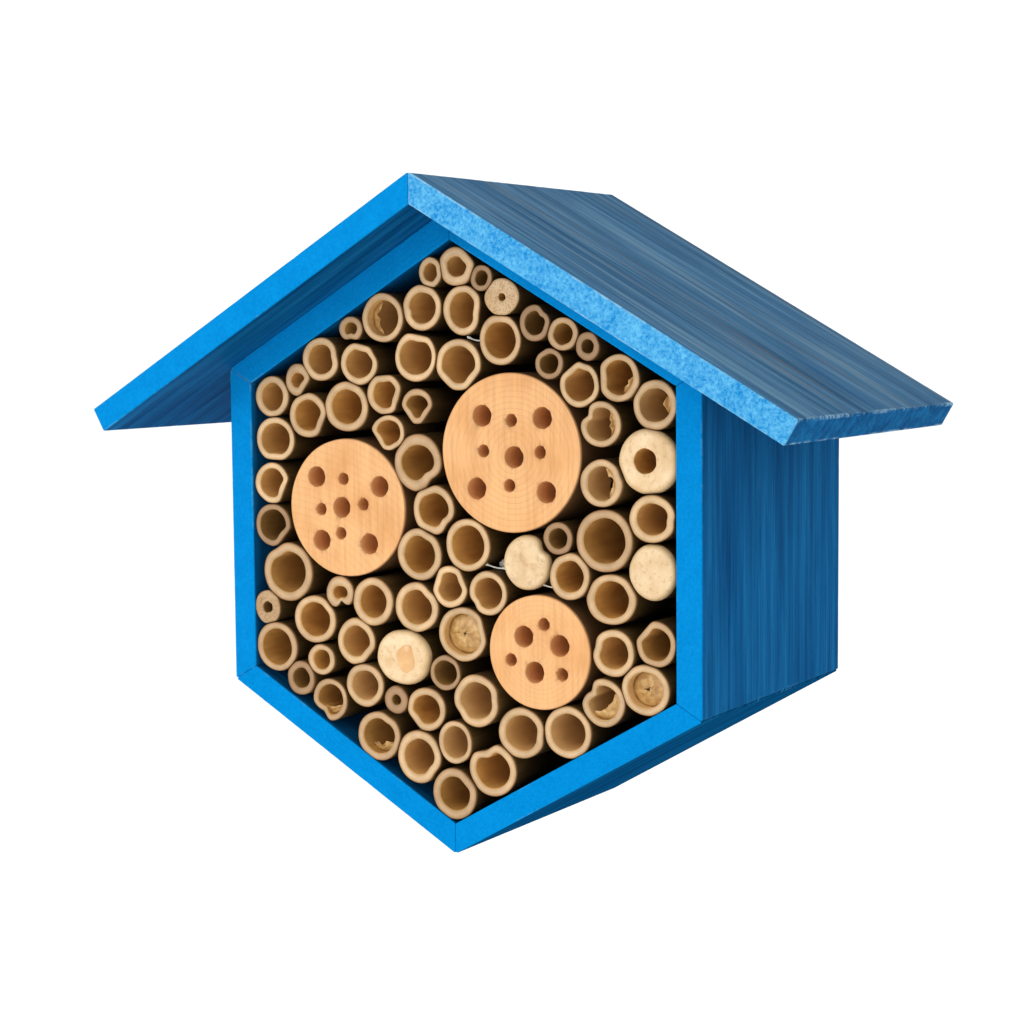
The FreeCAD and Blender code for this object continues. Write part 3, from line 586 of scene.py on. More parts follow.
def rounded_section(outline, radius):
    """An outline with a small round at each corner, and points spaced along its sides.

    Each point comes with the direction that leads away from the board, and its nearness to a corner."""
    points, ways, near = [], [], []
    count = len(outline)
    for index, corner in enumerate(outline):
        before, after, beyond = outline[index - 1], outline[(index + 1) % count], outline[(index + 2) % count]
        into, out = (corner - before).normalized(), (after - corner).normalized()
        onward = (beyond - after).normalized()
        half = math.acos(max(-1, min(1, into.dot(out)))) / 2
        next_half = math.acos(max(-1, min(1, out.dot(onward)))) / 2
        centre = corner + (out - into).normalized() * (radius / math.cos(half))
        for step in range(4):
            way = Matrix.Rotation(2 * half * step / 3, 2) @ Vector((into.y, -into.x))
            points.append(centre + way * radius)
            ways.append(way)
            near.append(1.0)
        start, end = corner + out * radius * math.tan(half), after - out * radius * math.tan(next_half)
        length = (end - start).length
        steps = max(2, round(length / STEP))
        for share in [0.7 / length] + [i / steps for i in range(1, steps)] + [1 - 0.7 / length]:
            points.append(start.lerp(end, share))
            ways.append(Vector((out.y, -out.x)))
            near.append(0.0)
    return points, ways, near


def filled(ring, outline, inset):
    """Triangles that fill a ring, over the ring's points and a grid of points kept inside the outline."""
    flat = list(ring)
    low = Vector((min(p.x for p in outline), min(p.y for p in outline)))
    high = Vector((max(p.x for p in outline), max(p.y for p in outline)))
    pairs = zip(outline, outline[1:] + outline[:1])
    sides = [(a, Vector((a.y - b.y, b.x - a.x)).normalized()) for a, b in pairs]
    for column in range(int((high.x - low.x) / STEP) + 1):
        for row in range(int((high.y - low.y) / STEP) + 1):
            spot = low + Vector((column + 0.5 * (row % 2), row)) * STEP
            if all((spot - corner).dot(inward) > inset for corner, inward in sides):
                flat.append(spot)
    count = len(ring)
    edges = [(i, (i + 1) % count) for i in range(count)]
    points, _, faces, *_ = geometry.delaunay_2d_cdt(flat, edges, [], 1, 1e-6)
    return points[count:], [tuple(face) for face in faces]


def make_board(name, node, material, slot, seed):
    """One board with rounded arrises: rings of its section from the back face to the front one."""
    outline = section(node)
    low, high = corners(node).min(0), corners(node).max(0)
    points, ways, near = rounded_section(outline, ARRIS)
    sides = [(b - a) for a, b in zip(outline, outline[1:] + outline[:1])]
    along = max(sides, key=lambda side: side.length).normalized()
    across = Vector((along.y, -along.x))
    shift = Vector((seed * 0.37, seed * 0.11, seed * 0.23))
    depth = high[1] - low[1]
    ends = END_RINGS[-1][0]
    between = depth - 2 * ends
    steps = round(between / STEP)
    stations = END_RINGS + [(ends + between * i / steps, 0.0, 0.0) for i in range(1, steps)]
    stations += [(depth - y, inset, wear) for y, inset, wear in reversed(END_RINGS)]
    verts, arris, front, grain, roof_top = [], [], [], [], []

    def add(spot, y, wear, outside=0.0):
        roof_top.append(outside)
        verts.append((spot.x, low[1] + y, spot.y))
        arris.append(wear)
        front.append(1.0 if y < FRONT_DEPTH else 0.0)
        grain.append(tuple(Vector((spot.dot(along), y, spot.dot(across))) * MM + shift))

    for y, inset, worn in stations:
        for point, way, corner in zip(points, ways, near):
            bite = noise.noise(Vector((point.x, y, point.y)) * 0.12 + shift * 9)
            chip = max(0.0, noise.noise(Vector((point.x, y * 0.6, point.y)) * 0.45 + shift * 5) - 0.35)
            worn_here = max(worn, corner if 0.05 < y < depth - 0.05 else 0.0)
            pull = inset * (1.0 + 0.05 * bite) + worn_here * chip * 0.3
            on_top = slot == "painted_roof_board" and way.y > 0.4
            add(point - way * min(pull, ARRIS - 0.01), y, worn_here, 1.0 if on_top else 0.0)
    count = len(points)
    faces = []
    for ring in range(len(stations) - 1):
        faces += bridge(ring * count, (ring + 1) * count, count)
    smooth = [True] * len(faces)
    for start in (0, (len(stations) - 1) * count):
        ring = [Vector((verts[start + i][0], verts[start + i][2])) for i in range(count)]
        inner, triangles = filled(ring, outline, 1.6)
        base = len(verts)
        for spot in inner:
            add(spot, verts[start][1] - low[1], 0.0)
        faces += [tuple(start + i if i < count else base + i - count for i in face) for face in triangles]
        smooth += [False] * len(triangles)
    values = {"arris": arris, "front": front, "grain": grain, "roof_top": roof_top}
    piece = make_object(name, verts, faces, [material], values)
    piece.data.polygons.foreach_set("use_smooth", smooth)
    return settle(outward(piece), [node])


WALLS = ["left_wall", "right_wall", "upper_left_wall", "upper_right_wall",
         "lower_left_wall", "lower_right_wall"]
for seed, node in enumerate(WALLS, start=1):
    # The lower walls take the paint with painted shade.
    paint = LOW_SHADED_PAINT if node.startswith("lower") else BOX_PAINT
    make_board("board_" + node, node, paint, "painted_box_board", seed)
make_board("board_left_roof_panel", "left_roof_panel", BOX_PAINT, "painted_roof_board", 11)
make_board("board_right_roof_panel", "right_roof_panel", PALE_PAINT, "painted_roof_board", 12)


# ---- canes ----

END, SKIN, BORE = cane_end(), cane_skin(), cane_bore()
BONE, PITH = pale_pith("bone_cane", False), pale_pith("pith_cane", True)
FILM = film_material()
AROUND = 60
TURNS = np.arange(AROUND) * 2 * math.pi / AROUND
LOG_NODES = ["large_log", "medium_log", "small_log"]
CANE_NODES = [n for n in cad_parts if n.startswith(("cane_", "thin_canes_"))]


def inner_planes():
    """The inner faces of the box's boards, as (unit normal, distance) half planes that hold the filling."""
    planes = []
    for node in WALLS:
        outline = section(node)
        pairs = sorted(zip(outline, outline[1:] + outline[:1]), key=lambda e: -(e[1] - e[0]).length)[:2]
        first, second = min(pairs, key=lambda e: (e[0] + e[1]).length)
        side = (second - first).normalized()
        normal = Vector((side.y, -side.x))
        if normal.dot(first) < 0:
            normal = -normal
        planes.append((normal, normal.dot(first)))
    return planes


def read_filling():
    """Every cane's and log's outside: {name: (node, x, z, radius)}, canes by their number in the table."""
    found = {}
    for node in LOG_NODES:
        found[node] = (node, *max(front_rims(node), key=lambda rim: rim[2]))
    for node in CANE_NODES:
        rims = sorted(front_rims(node), key=lambda rim: -rim[2])
        outer = []
        for rim in rims:
            if not any(math.hypot(rim[0] - o[0], rim[1] - o[1]) < o[2] for o in outer):
                outer.append(rim)
        for x, z, radius in outer:
            number = min(CANES, key=lambda n: math.hypot(CANES[n][0] - x, CANES[n][1] - z))
            found[number] = (node, x, z, radius)
    return found


PLANES = inner_planes()
FILLING = read_filling()


FAR = 1e3
LEAST_FACING = 0.05  # the cosine under which a direction misses a plane
BOARD_GAP, CANE_GAP = 0.06, 0.05


def chord(facing, line, least=LEAST_FACING):
    """The reach in each direction to a straight line at a distance."""
    return np.where(facing > least, line / np.maximum(facing, least), FAR)


def room(name):
    """How far the outside of a piece may reach in each direction before it meets a neighbour or a board."""
    _, x, z, radius = FILLING[name]
    reach = np.full(AROUND, FAR)
    way_x, way_z = np.cos(TURNS), np.sin(TURNS)
    for normal, distance in PLANES:
        facing = way_x * normal.x + way_z * normal.y
        reach = np.minimum(reach, chord(facing, distance - (normal.x * x + normal.y * z) - BOARD_GAP))
    for other, (_, other_x, other_z, other_radius) in FILLING.items():
        if other == name:
            continue
        gap_x, gap_z = other_x - x, other_z - z
        apart = math.hypot(gap_x, gap_z)
        if apart > radius + other_radius + 8:
            continue
        if isinstance(other, str):
            line = apart - other_radius - BOARD_GAP
        else:
            line = (apart * apart + radius * radius - other_radius * other_radius) / (2 * apart) - CANE_GAP
        reach = np.minimum(reach, chord((way_x * gap_x + way_z * gap_z) / apart, line))
    return reach


def soft_min(first, second, blend):
    """The smaller of two lengths, with the corner between them rounded."""
    h = np.clip(0.5 + 0.5 * (second - first) / blend, 0, 1)
    return second * (1 - h) + first * h - blend * h * (1 - h)


def ripple(seed, pitch, strength):
    """A smooth wobble round a ring."""
    places = [(math.cos(t) * pitch + seed * 3.1, math.sin(t) * pitch, seed * 1.7) for t in TURNS]
    return np.array([noise.noise(Vector(p)) for p in places]) * strength


def oval(wide, tall):
    """The radii of an ellipse."""
    return 1 / np.sqrt((np.cos(TURNS) / (wide / 2)) ** 2 + (np.sin(TURNS) / (tall / 2)) ** 2)


def shaped(ring, flats, dents):
    """A ring of radii with flats and dents worked into it."""
    for angle, share in flats:
        facing = np.cos(TURNS - math.radians(angle))
        ring = soft_min(ring, chord(facing, ring.mean() * share, 0.1), 0.8)
    for angle, depth, width in dents:
        away = (np.degrees(TURNS) - angle + 180) % 360 - 180
        ring = ring - depth * np.exp(-(away / width) ** 2)
    return ring


def end_plane(seed, tilt):
    """How far the saw left each part of an end proud of its mean plane."""
    way = seed * 2.399
    return lambda x, z: tilt * (x * math.cos(way) + z * math.sin(way)) + 0.06 * noise.noise(
        Vector((x * 0.4, z * 0.4, seed)))


SQUARED = 5.0  # behind this depth a cane no longer follows the slant of its saw cut


def finish(number):
    """A cane's finish: its coarse step, varied a little from cane to cane."""
    step = next((step for step, canes in FINISHES if number in canes), PLAIN)
    own = random.Random(number + 1000)
    return [value * own.uniform(0.95, 1.05) for value in step]


def make_reed(number):
    """One cane: its skin, its sawn end, and its bore, or the filled end of a solid one."""
    node, x, z, _ = FILLING[number]
    _, _, wide, tall, bore_wide, bore_tall, look = CANES[number]
    kind = look.get("kind", "cane")
    flats, dents = look.get("flats", []), look.get("dents", [])
    bright, redness, bore_bright = finish(number)
    spin = random.Random(number)
    outer = shaped(oval(wide, tall) + ripple(number, 1.1, 0.35), flats, dents)
    outer = soft_min(outer, room(number), 0.45)
    shift_x, shift_z = look.get("shift", (0, 0))
    low, high = corners(node)[:, 1].min(), corners(node)[:, 1].max()
    face = low + spin.uniform(-0.25, 0.7)
    surface = end_plane(number, spin.uniform(0.0, 0.02))
    length = high - face
    verts, slots, faces = [], [], []
    values = {"wall": [], "depth": [], "bright": [], "redness": [], "bore_bright": []}

    def ring(radii, depth, wall, centre=(0, 0), follow=1.0):
        start = len(verts)
        for turn, r in zip(TURNS, radii):
            px, pz = centre[0] + math.cos(turn) * r, centre[1] + math.sin(turn) * r
            verts.append((x + px, face + depth - follow * surface(px, pz), z + pz))
            for label, number_there in (("wall", wall), ("depth", depth), ("bright", bright),
                                        ("redness", redness), ("bore_bright", bore_bright)):
                values[label].append(number_there)
        return start

    def join(first, second, slot):
        made = bridge(first, second, AROUND)
        faces.extend(made)
        slots.extend([slot] * len(made))

    solid = bore_wide == 0
    deep = [0.5, 1.3, 2.6, 4.5, 7, 10, 14, 19, 26, 36, 55, 85, length]
    if kind == "bone":
        rings = [ring(outer * share, drop, share) for share, drop in
                 ((0.8, 0.0), (0.88, 0.16), (0.93, 0.42), (0.97, 0.9), (0.99, 1.5))]
        for first, second in zip(rings, rings[1:]):
            join(first, second, 0)
        rings = [rings[0], ring(outer, 2.3, 1.0)]
        join(rings[1] - AROUND, rings[1], 0)
    else:
        rings = [ring(outer - 0.02 * outer, 0.0, 0.97), ring(outer - 0.1, 0.12, 1.0)]
        join(rings[0], rings[1], 0)
    for d in deep[2:] if kind == "bone" else deep:
        skin = outer - abs(ripple(number + d, 0.9, 0.2)) * min(1, d / 6)
        rings.append(ring(skin, d, 1.0, follow=max(0, 1 - d / SQUARED)))
    for first, second in zip(rings[1:], rings[2:]):
        join(first, second, 1)
    rough = look.get("rough", 0.0)
    if solid:
        last = rings[0]
        for share in (0.76, 0.7, 0.62, 0.53, 0.44, 0.34, 0.24, 0.14, 0.05):
            start = ring(outer * share, 0.0, share)
            for i, t in enumerate(TURNS):
                across = (math.cos(t) * share, math.sin(t) * share)
                broad, fine = (noise.noise(Vector((across[0] * f, across[1] * f, number))) for f in (3, 9))
                vx, vy, vz = verts[start + i]
                rise = rough * (0.6 * (0.8 - share) ** 0.5 + 1.4 * broad + 0.8 * fine)
                verts[start + i] = (vx, vy - rise, vz)
            join(last, start, 0)
            last = start
        faces.append(tuple(range(last, last + AROUND)))
        slots.append(0)
        faces.append(tuple(range(rings[-1], rings[-1] + AROUND)))
        slots.append(1)
    else:
        share = np.minimum(1.0, outer / oval(wide, tall))
        bore = shaped(oval(bore_wide, bore_tall) + ripple(number + 40, 1.3, 0.25), flats,
                      look.get("bore_dents", [(a, d * 0.6, w * 1.2) for a, d, w in dents]))
        bore = np.minimum(bore * (0.4 + 0.6 * share), outer - 0.9)
        last = rings[0]
        for part in (0.5, 0.2) if kind == "bone" else (0.8, 0.5, 0.2):
            middle = bore + (outer - bore) * part
            start = ring(middle, 0.0, part, (shift_x * (1 - part), shift_z * (1 - part)))
            join(last, start, 0)
            last = start
        start = ring(bore + 0.1, 0.0, 0.03, (shift_x, shift_z))
        join(last, start, 0)
        last = start
        for d in [0.15] + deep:
            narrow = ripple(number + 80 + d * 0.1, 1.3, 0.5) * min(1, d / 9)
            start = ring(bore - abs(narrow), d, 0.0, (shift_x, shift_z), max(0, 1 - d / SQUARED))
            join(last, start, 2)
            last = start
        join(last, rings[-1], 1)
    materials = {"cane": [END, SKIN, BORE], "bone": [BONE, SKIN, BORE], "pith": [PITH, SKIN, BORE]}[kind]
    piece = make_object("reed_%02d" % number, verts, faces, materials, values, slots=slots)
    return settle(outward(piece), [node])


for number in CANES:
    make_reed(number)


# A peeling lining in some bores: the angles it spans, its inner edge as a share of the bore, its depth.
LININGS = {
    7: (110, 255, 0.5, 4.0), 18: (-80, 10, 0.62, 3.0), 23: (-35, 40, 0.5, 3.5), 27: (-50, 60, 0.6, 3.0),
    32: (-60, 75, 0.62, 1.5), 54: (-180, 190, 0.0, 4.0), 61: (-180, 190, 0.1, 4.5), 62: (-140, 40, 0.35, 2.5),
    68: (205, 340, 0.5, 3.0), 72: (215, 335, 0.5, 4.0),
}


def make_lining(number):
    """A crumpled sheet that has come away from the wall of a bore, with a torn inner edge."""
    node, x, z, _ = FILLING[number]
    bore_wide, bore_tall = CANES[number][4:6]
    begin, end, reach, depth = LININGS[number]
    face = corners(node)[:, 1].min()
    columns, rows = 40, 9
    points = []
    for layer in (0.0, 0.18):
        for row in range(rows + 1):
            for column in range(columns + 1):
                turn = math.radians(begin + (end - begin) * column / columns)
                wall = 1 / math.hypot(math.cos(turn) / (bore_wide / 2), math.sin(turn) / (bore_tall / 2)) - 0.3
                torn = reach + 0.22 * noise.noise(Vector((turn * 1.6, number, 0.0)))
                taper = 1 - (0.75 if end - begin < 300 else 0.0) * abs(2 * column / columns - 1) ** 3
                share = 1 - (1 - min(0.95, max(0.05, torn))) * taper * row / rows
                crease = noise.noise(Vector((turn * 1.8, row * 0.3, number))) * row / rows
                y = depth - 1.6 * row / rows * taper + 1.2 * crease + layer
                px, pz = wall * share * math.cos(turn), wall * share * math.sin(turn)
                points.append((x + px, face + max(0.8, y), z + pz))
    faces = []
    span = columns + 1
    sheet = span * (rows + 1)
    for row in range(rows):
        for column in range(columns):
            first = row * span + column
            quad = (first, first + 1, first + span + 1, first + span)
            faces += [quad, tuple(sheet + i for i in reversed(quad))]
    rim = list(range(span)) + [row * span + columns for row in range(1, rows + 1)]
    rim += [rows * span + column for column in range(columns - 1, -1, -1)]
    rim += [row * span for row in range(rows - 1, 0, -1)]
    for first, second in zip(rim, rim[1:] + rim[:1]):
        faces.append((second, first, sheet + first, sheet + second))
    settle(outward(make_object("lining_%02d" % number, points, faces, [FILM])), [node])


for number in LININGS:
    make_lining(number)


def make_plug():
    """The smooth oval heart that stands in the end of the thick solid cane."""
    shape = bmesh.new()
    bmesh.ops.create_uvsphere(shape, u_segments=48, v_segments=32, radius=1.0)
    node, x, z, _ = FILLING[57]
    middle = Vector((x + 1.7, corners(node)[:, 1].min() + 0.9, z - 0.4))
    for vertex in shape.verts:
        way = vertex.co.copy()
        swell = 1 + 0.05 * noise.noise(way * 1.7)
        vertex.co = (middle + Vector((4.9 * way.x * swell, 2.2 * way.y, 6.2 * way.z * swell))) * MM
    paint = Paint("cane_heart")
    clouds = paint.noise(paint.place(), scale=150, detail=3)
    colour = paint.ramp(clouds, (0.3, srgb(196, 146, 92)), (0.6, srgb(210, 166, 112)),
                        (0.8, srgb(220, 182, 134)))
    paint.set(Base_Color=colour, Roughness=0.22, Normal=paint.bump(clouds, 0.1, 0.3))
    settle(from_bmesh("heart_57", shape, paint.material), [node])


make_plug()


# ---- logs ----

# Where the pith lies from the log's centre, and how its rings, grain and saw marks run.
LOG_LOOKS = {
    "large_log": dict(pith=(0.6, -1.0), ring_pitch=2.1, grain_turn=35, ring_strength=0.42, saw_turn=-28),
    "medium_log": dict(pith=(-32.5, -68.5), ring_pitch=2.6, grain_turn=-8, ring_strength=0.3, saw_turn=12),
    "small_log": dict(pith=(-0.2, 0.1), ring_pitch=1.7, grain_turn=48, ring_strength=0.3, saw_turn=40),
}


def make_log(node):
    """A sawn log with its blind holes: a triangulated face, hole walls and the outside."""
    rims = sorted(front_rims(node), key=lambda rim: -rim[2])
    (x, z, radius), holes = rims[0], rims[1:]
    points = corners(node)
    low, high = points[:, 1].min(), points[:, 1].max()
    seed = LOG_NODES.index(node) + 200
    count = 160
    turns = np.arange(count) * 2 * math.pi / count
    wobble = [0.12 * noise.noise(Vector((math.cos(t) * 2, math.sin(t) * 2, seed))) - 0.1 for t in turns]
    reach = [radius - 0.5 + w for w in wobble]
    flat = [Vector((x + r * math.cos(t), z + r * math.sin(t))) for r, t in zip(reach, turns)]
    edges = [(i, (i + 1) % count) for i in range(count)]
    bored = []
    for number, (hx, hz, hr) in enumerate(holes):
        start, steps = len(flat), 36 if hr > 3 else 24
        for i in range(steps):
            t = i * 2 * math.pi / steps
            ragged = noise.noise(Vector((math.cos(t) * 3, math.sin(t) * 3, number * 5.3 + seed)))
            torn = 0.12 + 0.16 * max(0.0, ragged)
            flat.append(Vector((hx + (hr + torn) * math.cos(t), hz + (hr + torn) * math.sin(t))))
        edges += [(start + i, start + (i + 1) % steps) for i in range(steps)]
        bored.append((start, steps, hx, hz, hr))
    spin = random.Random(seed)
    pitch = 1.9
    for column in range(int(-radius / pitch), int(radius / pitch) + 1):
        for row in range(int(-radius / pitch), int(radius / pitch) + 1):
            step_x, step_z = column + spin.uniform(-0.3, 0.3), row + spin.uniform(-0.3, 0.3)
            spot = Vector((x + step_x * pitch, z + step_z * pitch))
            clear = (spot - Vector((x, z))).length < radius - 1.4
            if clear and all((spot - Vector((hx, hz))).length > hr + 0.9 for hx, hz, hr in holes):
                flat.append(spot)
    made, _, triangles, *_ = geometry.delaunay_2d_cdt(flat, edges, [], 0, 1e-6)
    keep = []
    for face in triangles:
        middle = sum((made[i] for i in face), Vector((0, 0))) / len(face)
        if all((middle - Vector((hx, hz))).length > hr for hx, hz, hr in holes):
            keep.append(tuple(face))
    verts, wall, hole = [], [], []
    for p in made:
        away = (p - Vector((x, z))).length / radius
        lift = 0.08 * noise.noise(Vector((p.x * 0.09, p.y * 0.09, seed)))
        lift += 0.03 * noise.noise(Vector((p.x, p.y, seed)))
        verts.append((p.x, low + 0.05 - lift, p.y))
        wall.append(away)
        hole.append(0.0)
    faces = keep

    def add_ring(radii, y, steps, centre, wall_there, hole_there):
        start = len(verts)
        for i in range(steps):
            t = i * 2 * math.pi / steps
            verts.append((centre[0] + radii[i] * math.cos(t), y, centre[1] + radii[i] * math.sin(t)))
            wall.append(wall_there)
            hole.append(hole_there)
        return start

    last = 0
    for y in (0.12, 0.5, 1.5, 4, 9, 20, 50, high - low):
        inset = 0.16 if y < 0.5 else 0.0
        radii = [radius - inset + w for w in wobble]
        start = add_ring(radii, low + y, count, (x, z), 1.0 if y < 1 else 1.3, 0.0)
        faces += bridge(last, start, count)
        last = start
    faces.append(tuple(range(last, last + count)))
    for start, steps, hx, hz, hr in bored:
        near = np.hypot(points[:, 0] - hx, points[:, 2] - hz) < hr * 1.05
        floor = points[near][:, 1].max()
        last = start
        for depth in (0.35, 1.0, 2.5, 5, 9, 15, 25, 45, floor - low):
            radii = [hr + 0.04 * noise.noise(Vector((math.cos(i) * 2, depth, hx))) for i in range(steps)]
            ring = add_ring(radii, low + depth, steps, (hx, hz), 0.5, min(1.0, 0.35 + depth / 6))
            faces += bridge(last, ring, steps)
            last = ring
        faces.append(tuple(range(last, last + steps)))
    look = dict(LOG_LOOKS[node])
    off_x, off_z = look.pop("pith")
    material = log_wood(node + "_grain", (x + off_x, z + off_z), light=srgb(218, 166, 112),
                        dark=srgb(204, 146, 90), **look)
    piece = make_object("sawn_" + node, verts, faces, [material], {"wall": wall, "hole": hole})
    return settle(outward(piece), [node])


for node in LOG_NODES:
    make_log(node)


# ---- back, hanger, fastenings and glue ----

def islands(node):
    """The separate solids of a node, each as the low and high corners of its box."""
    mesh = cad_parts[node].data
    points = corners(node)
    keys = [tuple(p.round(3)) for p in points]
    parent = {key: key for key in keys}

    def root(key):
        while parent[key] != key:
            key = parent[key]
        return key

    for face in mesh.polygons:
        ring = [keys[i] for i in face.vertices]
        for key in ring[1:]:
            parent[root(key)] = root(ring[0])
    groups = defaultdict(list)
    for key in parent:
        groups[root(key)].append(key)
    return [(np.array(group).min(0), np.array(group).max(0)) for group in groups.values()]


def make_softened(name, node, material, width):
    """A node's shape again, with its sharp edges rounded over."""
    shape = bmesh.new()
    shape.from_mesh(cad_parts[node].data)
    bmesh.ops.remove_doubles(shape, verts=shape.verts, dist=1e-6)
    bmesh.ops.dissolve_limit(shape, angle_limit=0.01, verts=shape.verts, edges=shape.edges)
    sharp = [e for e in shape.edges if len(e.link_faces) == 2 and e.calc_face_angle(0) > math.radians(35)]
    bmesh.ops.bevel(shape, geom=sharp, offset=width * MM, segments=3, profile=0.5, affect="EDGES",
                    clamp_overlap=True)
    made = from_bmesh(name, shape, material)
    made.data.set_sharp_from_angle(angle=math.radians(30))
    settle(made, [node])


def make_screw(name, low, high, material):
    """A countersunk screw driven in from the back: crossed recess, cone, and a threaded shank to a point."""
    x, z = (low[0] + high[0]) / 2, (low[2] + high[2]) / 2
    head, tip = (high[0] - low[0]) / 2, high[1] - low[1]
    count = 72
    verts, faces = [], []

    def ring(radius, depth, carved=False):
        start = len(verts)
        for i in range(count):
            turn = i * 2 * math.pi / count
            px, pz = radius * math.cos(turn), radius * math.sin(turn)
            inside = carved and min(abs(px), abs(pz)) < 0.42 and max(abs(px), abs(pz)) < 1.5
            verts.append((x + px, high[1] - depth - (0.9 if inside else 0.0), z + pz))
        if start:
            faces.extend(bridge(start - count, start, count))
        return start

    for step in range(1, 15):
        ring((head - 0.15) * step / 14, 0.03, carved=True)
    ring(head, 0.12)
    ring(head, 0.25)
    for step in range(1, 6):
        ring(head + (1.5 - head) * step / 5, 0.25 + 1.3 * step / 5)
    turns = 60
    for step in range(turns):
        depth = 1.6 + (tip - 2.0) * step / turns
        narrowing = min(1.0, (tip - 0.2 - depth) / 2.2)
        start = len(verts)
        for i in range(count):
            turn = i * 2 * math.pi / count
            thread = abs(((depth / 1.2 + turn / (2 * math.pi)) % 1.0) - 0.5) * 2
            radius = max(0.1, (1.05 + 0.4 * thread ** 3) * narrowing)
            verts.append((x + radius * math.cos(turn), high[1] - depth, z + radius * math.sin(turn)))
        faces.extend(bridge(start - count, start, count))
    ring(0.02, tip - 0.1)
    faces.append(tuple(range(len(verts) - count, len(verts))))
    faces.append(tuple(range(count)))
    settle(outward(make_object(name, verts, faces, [material])), ["hanger_screws"])


def make_blob(name, centre, size, material, seed):
    """A lump of set glue, smooth and uneven."""
    shape = bmesh.new()
    bmesh.ops.create_icosphere(shape, subdivisions=4, radius=1.0)
    for vertex in shape.verts:
        way = vertex.co.normalized()
        swell = 0.72 + 0.28 * noise.noise(way * 1.3 + Vector((seed * 3.7, 0, 0))) + 0.06 * noise.noise(way * 5)
        vertex.co = Vector([(centre[i] + way[i] * swell * size[i] / 2) * MM for i in range(3)])
    settle(from_bmesh(name, shape, material), ["glue_beads"])


def make_string(name, path, radius, material):
    """A thread of glue pulled out between two places, thicker at its ends."""
    count, steps = 12, 24
    verts, faces = [], []
    start, end = Vector(path[0]), Vector(path[1])
    for step in range(steps + 1):
        share = step / steps
        centre = start.lerp(end, share) - Vector((0, 0, math.sin(share * math.pi) * 0.6))
        uneven = noise.noise(Vector((step * 0.5, radius, start.x)))
        thick = radius * (1 + 1.6 * abs(2 * share - 1) ** 4 + 0.3 * uneven)
        base = len(verts)
        for i in range(count):
            turn = i * 2 * math.pi / count
            verts.append((centre.x, centre.y + thick * math.cos(turn), centre.z + thick * math.sin(turn)))
        if base:
            faces.extend(bridge(base - count, base, count))
    faces += [tuple(range(count)), tuple(range(len(verts) - count, len(verts)))]
    settle(outward(make_object(name, verts, faces, [material])), ["glue_beads"])


make_softened("sheet_back_panel", "back_panel", plain_wood("back_wood"), 0.5)
make_softened("pressed_hanger_plate", "hanger_plate",
              plated_steel("hanger_zinc", srgb(150, 152, 156), srgb(196, 198, 202), 0.28), 0.15)
BRIGHT_STEEL = plated_steel("bright_steel", srgb(160, 158, 152), srgb(204, 202, 196), 0.22)
for index, (low, high) in enumerate(sorted(islands("hanger_screws"), key=lambda box: box[0][2])):
    make_screw("screw_%d" % (index + 1), low, high, BRIGHT_STEEL)
for node in ("frame_brads", "roof_brads"):
    make_softened("driven_" + node, node, BRIGHT_STEEL, 0.12)
GLUE = milky_glue()
SHOWING = -100  # glue plugs that start in front of this y show from outside
for index, (low, high) in enumerate(sorted(islands("glue_beads"), key=lambda box: box[0][1])):
    proud = low[1] < SHOWING
    share = 0.42 if proud else 0.8
    make_blob("glue_%02d" % (index + 1), (low + high) / 2, (high - low) * share, GLUE, index)
    if proud:
        start = low + (high - low) * np.array([0.12, 0.0, 0.54]) - np.array([0.0, 2.6, 0.0])
        end = low + (high - low) * np.array([0.88, 0.0, 0.4]) - np.array([0.0, 1.6, 0.0])
        make_string("glue_string_%d" % (index + 1), (start, end), 0.28, GLUE)
        make_blob("glue_drop_%d" % (index + 1), start, (1.9, 1.6, 1.5), GLUE, index + 40)


# ---- camera, light and backdrop ----

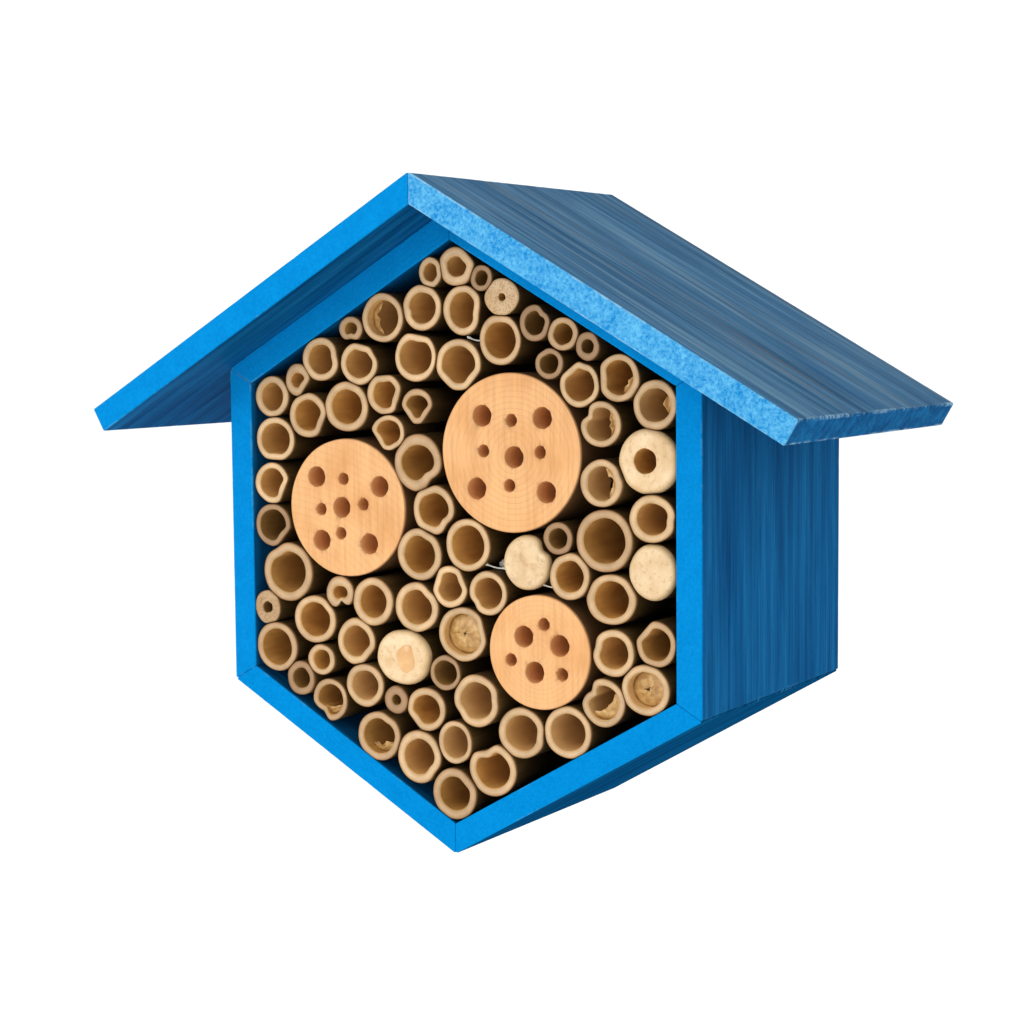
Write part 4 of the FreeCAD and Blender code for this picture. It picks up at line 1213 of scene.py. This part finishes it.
def make_camera():
    """The camera of the photograph, placed round the point it looks at."""
    aim = Vector((25.87, -128.0, 9.535)) * MM
    distance, yaw, pitch, roll = 0.76662, 0.52997, 0.08661, -0.00871
    back = Vector((math.sin(yaw) * math.cos(pitch), -math.cos(yaw) * math.cos(pitch), math.sin(pitch)))
    right = (-back).cross(Vector((0, 0, 1))).normalized()
    up = right.cross(-back)
    turned_right = math.cos(roll) * right + math.sin(roll) * up
    turned_up = math.cos(roll) * up - math.sin(roll) * right
    lens = bpy.data.cameras.new("camera")
    lens.lens = 73.99
    lens.sensor_width = 36.0
    lens.clip_start = 0.01
    camera = place_object("camera", lens)
    camera.matrix_world = Matrix.Translation(aim + back * distance) @ Matrix(
        (turned_right, turned_up, back)).transposed().to_4x4()
    bpy.context.scene.camera = camera


def make_light(name, place, size, power, aim=(0.0, -0.09, 0.0)):
    lamp = bpy.data.lights.new(name, "AREA")
    lamp.shape = "DISK"
    lamp.size = size
    lamp.energy = power
    made = place_object(name, lamp)
    made.location = place
    made.rotation_mode = "QUATERNION"
    made.rotation_quaternion = (Vector(aim) - Vector(place)).to_track_quat("-Z", "Y")


def make_stage():
    """A pale floor well below the box, and an even pale surround."""
    wide, level = 9000, -330
    spots = [(-wide, -wide, level), (wide, -wide, level), (wide, wide, level), (-wide, wide, level)]
    floor = make_object("floor", spots, [(0, 1, 2, 3)], [], smooth=False)
    pale = Paint("floor_pale")
    grain = pale.noise(pale.place(), scale=3, detail=2)
    pale.set(Base_Color=pale.ramp(grain, (0.3, srgb(246, 246, 246)), (0.7, srgb(250, 250, 250))), Roughness=0.9)
    floor.data.materials.append(pale.material)
    world = bpy.data.worlds.new("studio")
    world.use_nodes = True
    surround = world.node_tree.nodes["Background"]
    surround.inputs["Color"].default_value = WHITE
    surround.inputs["Strength"].default_value = 1.12
    bpy.context.scene.world = world


make_camera()
make_light("key", (-0.7, -1.5, 0.7), 0.9, 9)
make_light("front", (0.5, -1.7, 0.1), 0.9, 3)
make_stage()
bpy.context.scene.view_settings.view_transform = "Standard"
